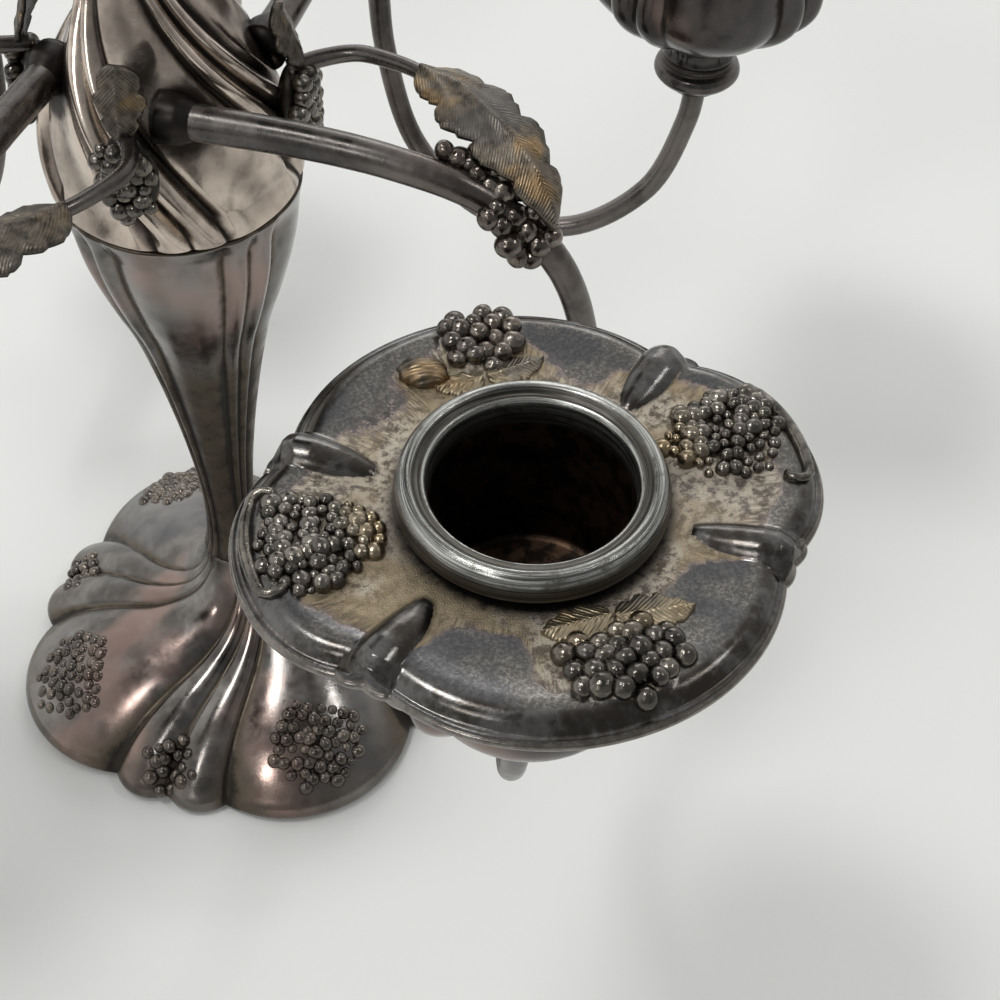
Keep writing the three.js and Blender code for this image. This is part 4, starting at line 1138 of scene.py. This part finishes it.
def shoulder_shapes():
    def fits(side, height, _):
        along = (2 * height - SHOULDER_TOP - SHOULDER_BOTTOM) / (SHOULDER_TOP - SHOULDER_BOTTOM)
        return (side / (SHOULDER_HALF * (1 + 0.3 * along))) ** 2 + along ** 2 < 1

    grapes = [Shape(BALL_POINTS * SHOULDER_SHADE_CORE, BALL_FACES, INSIDE).moved(SHOULDER_MIDDLE)]
    low, high = (-SHOULDER_HALF * 1.3, SHOULDER_BOTTOM), (SHOULDER_HALF * 1.3, SHOULDER_TOP)
    for side, height, ball in heaped_spots(SHOULDER_GRAPE, SHOULDER_SPREAD, low, high, fits):
        heap = SHOULDER_HEAP * (1 - (side / HEAP_SIDE) ** 2) - ((height - SHOULDER_HEIGHT) / HEAP_END) ** 2
        out = SHOULDER_RADIUS + heap - side * side / DOME_ROUNDNESS
        grapes.append(grape([out, side, height], ball, (1, 0, 0)))
    leaf = long_leaf(SHOULDER_LEAF, SHOULDER_LEAF_WIDTH, 3, 0.2, 0.6, 0.6, 34)
    return joined(grapes), leaf


# Dome, stem and column

DOME_PROFILE = [
    [18.2, -5.1], [18.3, -4.9], [18.6, -3], [18.9, 0], [18.8, 3.5], [18.1, 7.5], [16.8, 12.4], [14.6, 17.4],
    [12, 22.2], [9.2, 27.5], [7.2, 32.5], [6, 37.5], [5.4, 42],
]
DOME_INNER = [[2.3, 42.0], [2.3, 15.2], [3.4, 15.0], [3.4, 10.7], [12.4, 10.7], [14.9, 0.5], [14.9, -5.1]]
DOME_GROOVE = 0.16
DOME_HOLLOW = 0.13
DOME_TURNS = (27.0, -103.0)
DOME_TURN_POWER = 1.3
# Heights over which the dome's grooves start and end, and what is left of them at the top
DOME_FADE_IN = (-6, -1)
DOME_FADE_OUT = (42, 36)
DOME_LEAST = 0.2
# How much the rib crests are lightened: rubbed wear and a painted highlight
DOME_RUBBED_HIGHLIGHT = 0.4
# Painted shade round each arm's root on the dome: [x, y, height] and its radius
ROOT_PLACE = (15.4, -3.0, 14.5)
ROOT_SHADE = 6.5


def dome_shape():
    """Swirling ribs: the narrow lobes and the sides of each wide lobe stand up round a hollow middle."""
    outer = spline(DOME_PROFILE, 6)
    height = outer[:, 1]
    share = ramp(height, height[0], height[-1])
    turns = DOME_TURNS[0] + (DOME_TURNS[1] - DOME_TURNS[0]) * share ** DOME_TURN_POWER
    fade = ramp(height, *DOME_FADE_IN) * np.maximum(ramp(height, *DOME_FADE_OUT), DOME_LEAST)
    rings, recess = with_inside(outer, DOME_INNER, DOME_GROOVE * fade, turns)
    rise, wide = lobe_rise(lobe_angles())
    hollow = np.where(wide, ramp(rise, 0.4, 1) ** 1.2, 0)
    trough = np.maximum((1 - rise) ** 1.6, 0.5 * hollow)
    # Rib crests lightened as rubbed wear and painted highlight
    rubbed = DOME_RUBBED_HIGHLIGHT * ramp(trough, 0.5, 0)
    for i, strength in enumerate(fade):
        rings[i, :, :2] *= (1 - DOME_HOLLOW * strength * hollow)[:, None]
        recess[i] = np.maximum(recess[i], strength * trough) - strength * rubbed
    for number in OUTER_LIGHTS:
        root = turned(ROOT_PLACE, light_place(number)[1])
        near = np.exp(-(np.linalg.norm(rings - root, axis=-1) / ROOT_SHADE) ** 4)
        recess = np.maximum(recess, 0.95 * near)
    recess[:DOME_SHADED_RINGS] = SHADED
    return rings_shape(rings, True, recess)


# The fillet that an arm comes out of: [along the arm, radius]
BOSS = [[0.0, 3.6], [3.0, 3.4], [4.0, 3.0], [4.8, 2.65], [5.4, 2.3]]


def boss_shape():
    path = spline(ARM_LINE, 10)
    profile = spline(BOSS, 4)
    # The fillet is painted black as shade round the arm's root
    return tube(path[0] + unit(path[3] - path[0]) * profile[:, :1], profile[:, 1], 28, 1.1)


STEM_PROFILE = [
    [AXIS, 37.9], [2, 37.9], [2, 42.3], [4.9, 42.3], [5.6, 42.7], [7, 43.4], [7.3, 44.8], [7, 46.2],
    [5.6, 46.9], [4.8, 47.8], [4.3, 49.5], [4, 51.7], [4.3, 54], [4.9, 56.5], [5.7, 58.4], [6.7, 59.4],
    [6.7, 59.8], [1.95, 59.8], [1.95, 62.7], [AXIS, 62.7],
]


def stem_shape():
    profile = softened(STEM_PROFILE, 0.5)
    return revolved(profile, recess=ramp(profile[:, 0], 5.76, 3.36))


COLUMN_PROFILE = [
    [18, -5.4], [18.1, -5.6], [17.9, -6.8], [17.5, -8.6], [17.2, -11], [16.6, -15], [15.4, -20], [13.6, -26],
    [11.4, -32.5], [9.2, -42], [7.2, -53], [5.9, -62], [5.1, -69], [4.6, -76], [4.6, -83], [5.1, -87.5],
    [5.6, -89.5],
]
COLUMN_INNER = [
    [2.3, -89.5], [2.3, -70], [5, -48], [7.2, -36], [9.9, -25.6], [9.9, -7.1], [14.9, -7.1], [14.9, -5.4],
]
COLUMN_GROOVE = 0.09
COLUMN_TURN = 57.0
# Heights over which the column's grooves start and end
COLUMN_FADE_IN = (-5, -10)
COLUMN_FADE_OUT = (-92.7, -84.7)
# Painted shade darkens the lower neck, from one height down to the other
NECK_HEIGHTS = (-28.0, -42.0)
NECK_SHADE = 0.85


def column_shape():
    outer = spline(COLUMN_PROFILE, 6)
    height = outer[:, 1]
    depths = COLUMN_GROOVE * ramp(height, *COLUMN_FADE_IN) * ramp(height, *COLUMN_FADE_OUT)
    rings, recess = with_inside(outer, COLUMN_INNER, depths, [COLUMN_TURN])
    tarnish_and_shade = NECK_SHADE * ramp(height, *NECK_HEIGHTS)
    recess[:len(outer)] = recess[:len(outer)] * depths[:, None] / COLUMN_GROOVE + tarnish_and_shade[:, None]
    recess[:COLUMN_SHADED_RINGS] = SHADED
    return rings_shape(rings, True, np.clip(recess, 0, INSIDE))


# Foot

FOOT_GROOVE_EDGE = 38.6
FOOT_NARROW_EDGE = 40.8
FOOT_PROFILE = [
    [5.4, 30.2], [6.2, 27], [8, 23.6], [10, 21.3], [12.8, 19.4], [19.5, 16.4], [27, 13.6], [33.5, 10.4],
    [38.5, 7.2], [41.8, 4.6], [43.4, 3.2], [44, 1.9], [43.6, 0.8], [42.6, 0.5],
]
FOOT_TURN = -4.0
FOOT_SWIRL = 57.0
FOOT_SWIRL_POWER = 2.2
FOOT_LIFT = 0.5
FOOT_RIM_SHADE = 0.42
FOOT_RIM_REACH = (0.74, 0.94)
FOOT_TOP_POINTS = 12
# How far a wide lobe bulges in millimetres, a narrow one's share of it, and where the bulge grows
FOOT_SWELL = 1.5
NARROW_SWELL = 0.55
SWELL_REACH = (0.14, 0.44)
SWELL_HEIGHTS = (0.5, 3.5)
FOOT_INSIDE = [[37.2, FOOT_LIFT], [36.8, 2.4], [33.8, 4.6], [16, 14.4], [2.3, 19], [2.3, 30.2]]


def foot_radius(rise, wide):
    crest = np.where(wide, FOOT_RADIUS, FOOT_NARROW_EDGE)
    return (FOOT_GROOVE_EDGE + (crest - FOOT_GROOVE_EDGE) * rise) / FOOT_RADIUS


def foot_turn(radius):
    return FOOT_TURN + FOOT_SWIRL * max(0.0, 1 - radius / FOOT_RADIUS) ** FOOT_SWIRL_POWER


def foot_swell(radius, height, rise, wide):
    """How far a lobe bulges above the foot's profile."""
    swell = FOOT_SWELL * ramp(radius / FOOT_RADIUS, *SWELL_REACH) * ramp(height, *SWELL_HEIGHTS)
    return swell * (rise ** 0.8 - 0.5) * np.where(wide, 1.0, NARROW_SWELL)


def foot_shape():
    angles = lobe_angles()
    rise, wide = lobe_rise(angles)
    rings, recess = [], []
    for radius, height in spline(FOOT_PROFILE, 6):
        a = np.radians(angles - WIDE_ANGLE / 2 + foot_turn(radius))
        z = height + foot_swell(radius, height, rise, wide)
        rings.append(polar(radius * foot_radius(rise, wide), a, z))
        recess.append((1 - rise) ** 3 + FOOT_RIM_SHADE * ramp(radius / FOOT_RADIUS, *FOOT_RIM_REACH))
    a = np.radians(angles - WIDE_ANGLE / 2 + FOOT_TURN)
    rings += [polar(radius, a, height) for radius, height in FOOT_INSIDE]
    recess += [np.full_like(a, INSIDE)] * len(FOOT_INSIDE)
    return rings_shape(rings, True, np.array(recess))


def foot_height(out, azimuth):
    """Height of the foot's skin at a distance from the axis, in a direction in degrees."""
    line = np.array(FOOT_PROFILE[:FOOT_TOP_POINTS])
    rise, wide = lobe_rise(np.array([(azimuth + WIDE_ANGLE / 2 - foot_turn(out)) % 360]))
    radius = out / foot_radius(rise, wide)
    height = np.interp(radius, line[:, 0], line[:, 1])
    return float(height[0] + foot_swell(radius, height, rise, wide)[0])


# Bunches on the foot's rim: where they start and end, and half width
FOOT_WIDE_BUNCH = (27.5, 41.6, 8.4)
FOOT_NARROW_BUNCH = (30.5, 39.0, 4.8)
FOOT_GRAPE = 1.3
FOOT_SPREAD = 0.25
FOOT_GRAPE_SINK = 0.42


def foot_bunch(azimuth, bunch):
    """Low grapes on the foot, in a heap near its edge."""
    start, end, half = bunch

    def fits(out, across, _):
        return ((2 * out - start - end) / (end - start)) ** 2 + (across / half) ** 2 < 1

    grapes = []
    for out, across, ball in heaped_spots(FOOT_GRAPE, FOOT_SPREAD, (start, -half), (end, half), fits):
        radius, angle = bearing(out, across, azimuth)
        height = foot_height(radius, angle) - FOOT_GRAPE_SINK * ball
        a = math.radians(angle)
        grapes.append(grape(polar(radius, a, height), ball, polar(0.4, a, 0.9)))
    return grapes


def foot_ornament():
    grapes = []
    for wide in np.arange(QUARTERS) * 360 / QUARTERS + FOOT_TURN:
        grapes += foot_bunch(wide, FOOT_WIDE_BUNCH)
        grapes += foot_bunch(wide + WIDE_ANGLE / 2 + NARROW_ANGLE, FOOT_NARROW_BUNCH)
    return joined(grapes)


# Socket and plug

SOCKET = [
    [2.3, -25.4], [9.6, -25.4], [9.6, -6.8], [14.6, -6.8], [14.6, -5.4], [8.6, -5.4], [8.6, -24.4],
    [2.3, -24.4],
]
PLUG = [
    [AXIS, -22.1], [7.4, -22.1], [8.25, -21.3], [8.25, -5.1], [14.6, -5.1], [14.6, -3.7], [3, -3.7],
    [3, 14.7], [AXIS, 14.7],
]


# Dressing of the whole object

def dress(number, turn, base, rows):
    """Pieces of one light or arm: name, shape, finish, body, slot (not used) and the CAD node that each
    stands for.
    """
    for name, shape, finish, body, slot, *nodes in rows:
        placed = shape.turned(turn).moved(base)
        piece(f"{name}_{number}", placed, finish, body, slot, *(f"{node}_{number}" for node in nodes))


def dress_lights():
    cup, collar, nozzle, pan = cup_shape(), collar_shape(), nozzle_shape(), pan_shape()
    for number in LIGHTS:
        centre, azimuth = light_place(number)
        light = f"light_{number}"
        grapes, leaves = pan_ornament()
        dress(number, azimuth, centre, (
            ("lobed_cup", cup, "shaded_cup_plate", "branches", "tarnished_silver", "cup"),
            ("turned_collar", collar, "dark_plate", "branches", "dark_silver", "collar"),
            ("candle_nozzle", nozzle, "worn_rim", light, "worn_silver", "nozzle"),
            ("lobed_pan", pan, "pan_plate", light, "pan_silver", "drip_pan"),
            ("pan_grapes", grapes, "grape_plate", light, "grape_silver"),
            ("pan_leaves", leaves, "leaf_plate", light, "grape_silver"),
        ))


def dress_branches():
    arm, boss = arm_shape(), boss_shape()
    domes = [dome_shape()]
    for number in OUTER_LIGHTS:
        azimuth = light_place(number)[1]
        grapes, leaf, stem = vine_shapes()
        dress(number, azimuth, BASE, (
            ("bent_arm", arm, "dark_plate", "branches", "dark_silver", "arm"),
            ("vine_leaf", leaf, "leaf_plate", "branches", "grape_silver", "vine"),
            ("vine_tendril", stem, "dark_plate", "branches", "grape_silver"),
            ("vine_grapes", grapes, "grape_plate", "branches", "grape_silver"),
        ))
        grapes, leaf = shoulder_shapes()
        dress(number, azimuth + SHOULDER_AZIMUTH, BASE, (
            ("shoulder_bunch", grapes, "grape_plate", "branches", "grape_silver", "shoulder_grapes"),
            ("shoulder_leaf", leaf, "leaf_plate", "branches", "grape_silver"),
        ))
        domes.append(boss.turned(azimuth))
    dome = joined(domes)
    plug = revolved(softened(PLUG, 0.3))
    piece("lobed_dome", dome.moved(BASE), "lit_dome_plate", "branches", "tarnished_silver", "branch_dome")
    piece("turned_stem", stem_shape().moved(BASE), "old_plate", "branches", "tarnished_silver", "centre_stem")
    piece("turned_plug", plug.moved(BASE), "dull_brass", "branches", "brass", "branch_plug")


def dress_column():
    socket = revolved(softened_loop(SOCKET, 0.3), loop=True)
    piece("lobed_column", column_shape().moved(BASE), "old_plate", "column", "tarnished_silver", "column")
    piece("turned_socket", socket.moved(BASE), "dull_brass", "column", "brass", "column_socket")
    piece("lobed_foot", foot_shape(), "old_plate", "column", "tarnished_silver", "foot_shell")
    piece("foot_grapes", foot_ornament(), "foot_grape_plate", "column", "grape_silver")


# CAD nodes that stay as they are
KEPT_NODES = {
    "tie_rod": "plain_steel", "tie_rod_washer": "plain_steel", "tie_rod_nut": "plain_steel",
    "foot_ballast": "pitch_ballast", "foot_felt": "felt_cloth",
    **{f"cup_screw_{number}": "plain_steel" for number in LIGHTS},
}


def finish_kept_nodes():
    for node, finish in KEPT_NODES.items():
        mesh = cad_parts[node].data
        mesh.materials.clear()
        mesh.materials.append(FINISHES[finish])


# Studio

FLOOR_SIZE = 6.0
FLOOR_COLOUR = (0.8, 0.805, 0.785)
WORLD_BANDS = ((0.0, (1.1, 1.1, 1.09)), (0.3, (1.1, 1.1, 1.08)), (1.0, (0.66, 0.66, 0.66)))
# The side that the photograph was taken from is darker: [share of the way from front to back, brightness]
FRONT_BANDS = ((0.0, 0.24), (0.35, 0.46), (0.62, 1.0))
# Azimuth, elevation, distance, width and height in metres, and radiance
LAMPS = (
    ("main_lamp", 165.0, 71.0, 1.3, 0.24, 0.24, 28.0),
    ("back_lamp", 54.0, 30.0, 1.5, 0.7, 0.3, 3.6),
    ("side_lamp", -35.0, 52.0, 1.3, 0.14, 0.14, 20.0),
    ("low_lamp", 208.0, 42.0, 1.4, 0.16, 0.22, 18.0),
)
AIM = Vector((0.0, -0.02, 0.1))


def make_floor():
    corners = [(x * FLOOR_SIZE / 2, y * FLOOR_SIZE / 2, 0) for x, y in ((-1, -1), (1, -1), (1, 1), (-1, 1))]
    mesh = bpy.data.meshes.new("floor")
    mesh.from_pydata(corners, [], [(0, 1, 2, 3)])
    f = Finish("floor_paint")
    darker = tuple(c * 0.985 for c in FLOOR_COLOUR)
    mesh.materials.append(f.done(f.noise(60, 3, 0.5).mixed(darker, FLOOR_COLOUR), 0.75, 0.0))
    added("floor", mesh)


def make_world():
    world = bpy.data.worlds.new("studio")
    bpy.context.scene.world = world
    world.use_nodes = True
    n = Nodes(world.node_tree)
    place = n.node("TexCoord", "Generated", {})

    def banded(value, bands):
        colour = n.node("ValToRGB", "Color", {"Fac": value})
        stops = colour.socket.node.color_ramp.elements
        while len(stops) < len(bands):
            stops.new(0.5)
        for stop, (position, brightness) in zip(stops, bands):
            stop.position = position
            stop.color = (*np.broadcast_to(brightness, 3), 1)
        return colour

    across = n.maths("MULTIPLY_ADD", place.part("Y"), 0.5, 0.5)
    sky = n.mixed(1.0, banded(place.part("Z"), WORLD_BANDS), banded(across, FRONT_BANDS), "MULTIPLY")
    n.feed(n.tree.nodes["Background"].inputs["Color"], sky)


def make_lamps():
    for name, azimuth, elevation, distance, width, height, radiance in LAMPS:
        data = bpy.data.lights.new(name, "AREA")
        data.shape = "RECTANGLE"
        data.size = width
        data.size_y = height
        data.energy = radiance * math.pi * width * height
        away = direction(azimuth, elevation)
        lamp = added(name, data)
        lamp.location = AIM + away * distance
        lamp.rotation_euler = (-away).to_track_quat("-Z", "Y").to_euler()


make_camera()
dress_lights()
dress_branches()
dress_column()
finish_kept_nodes()
make_floor()
make_world()
make_lamps()
bpy.context.scene.view_settings.view_transform = "Standard"
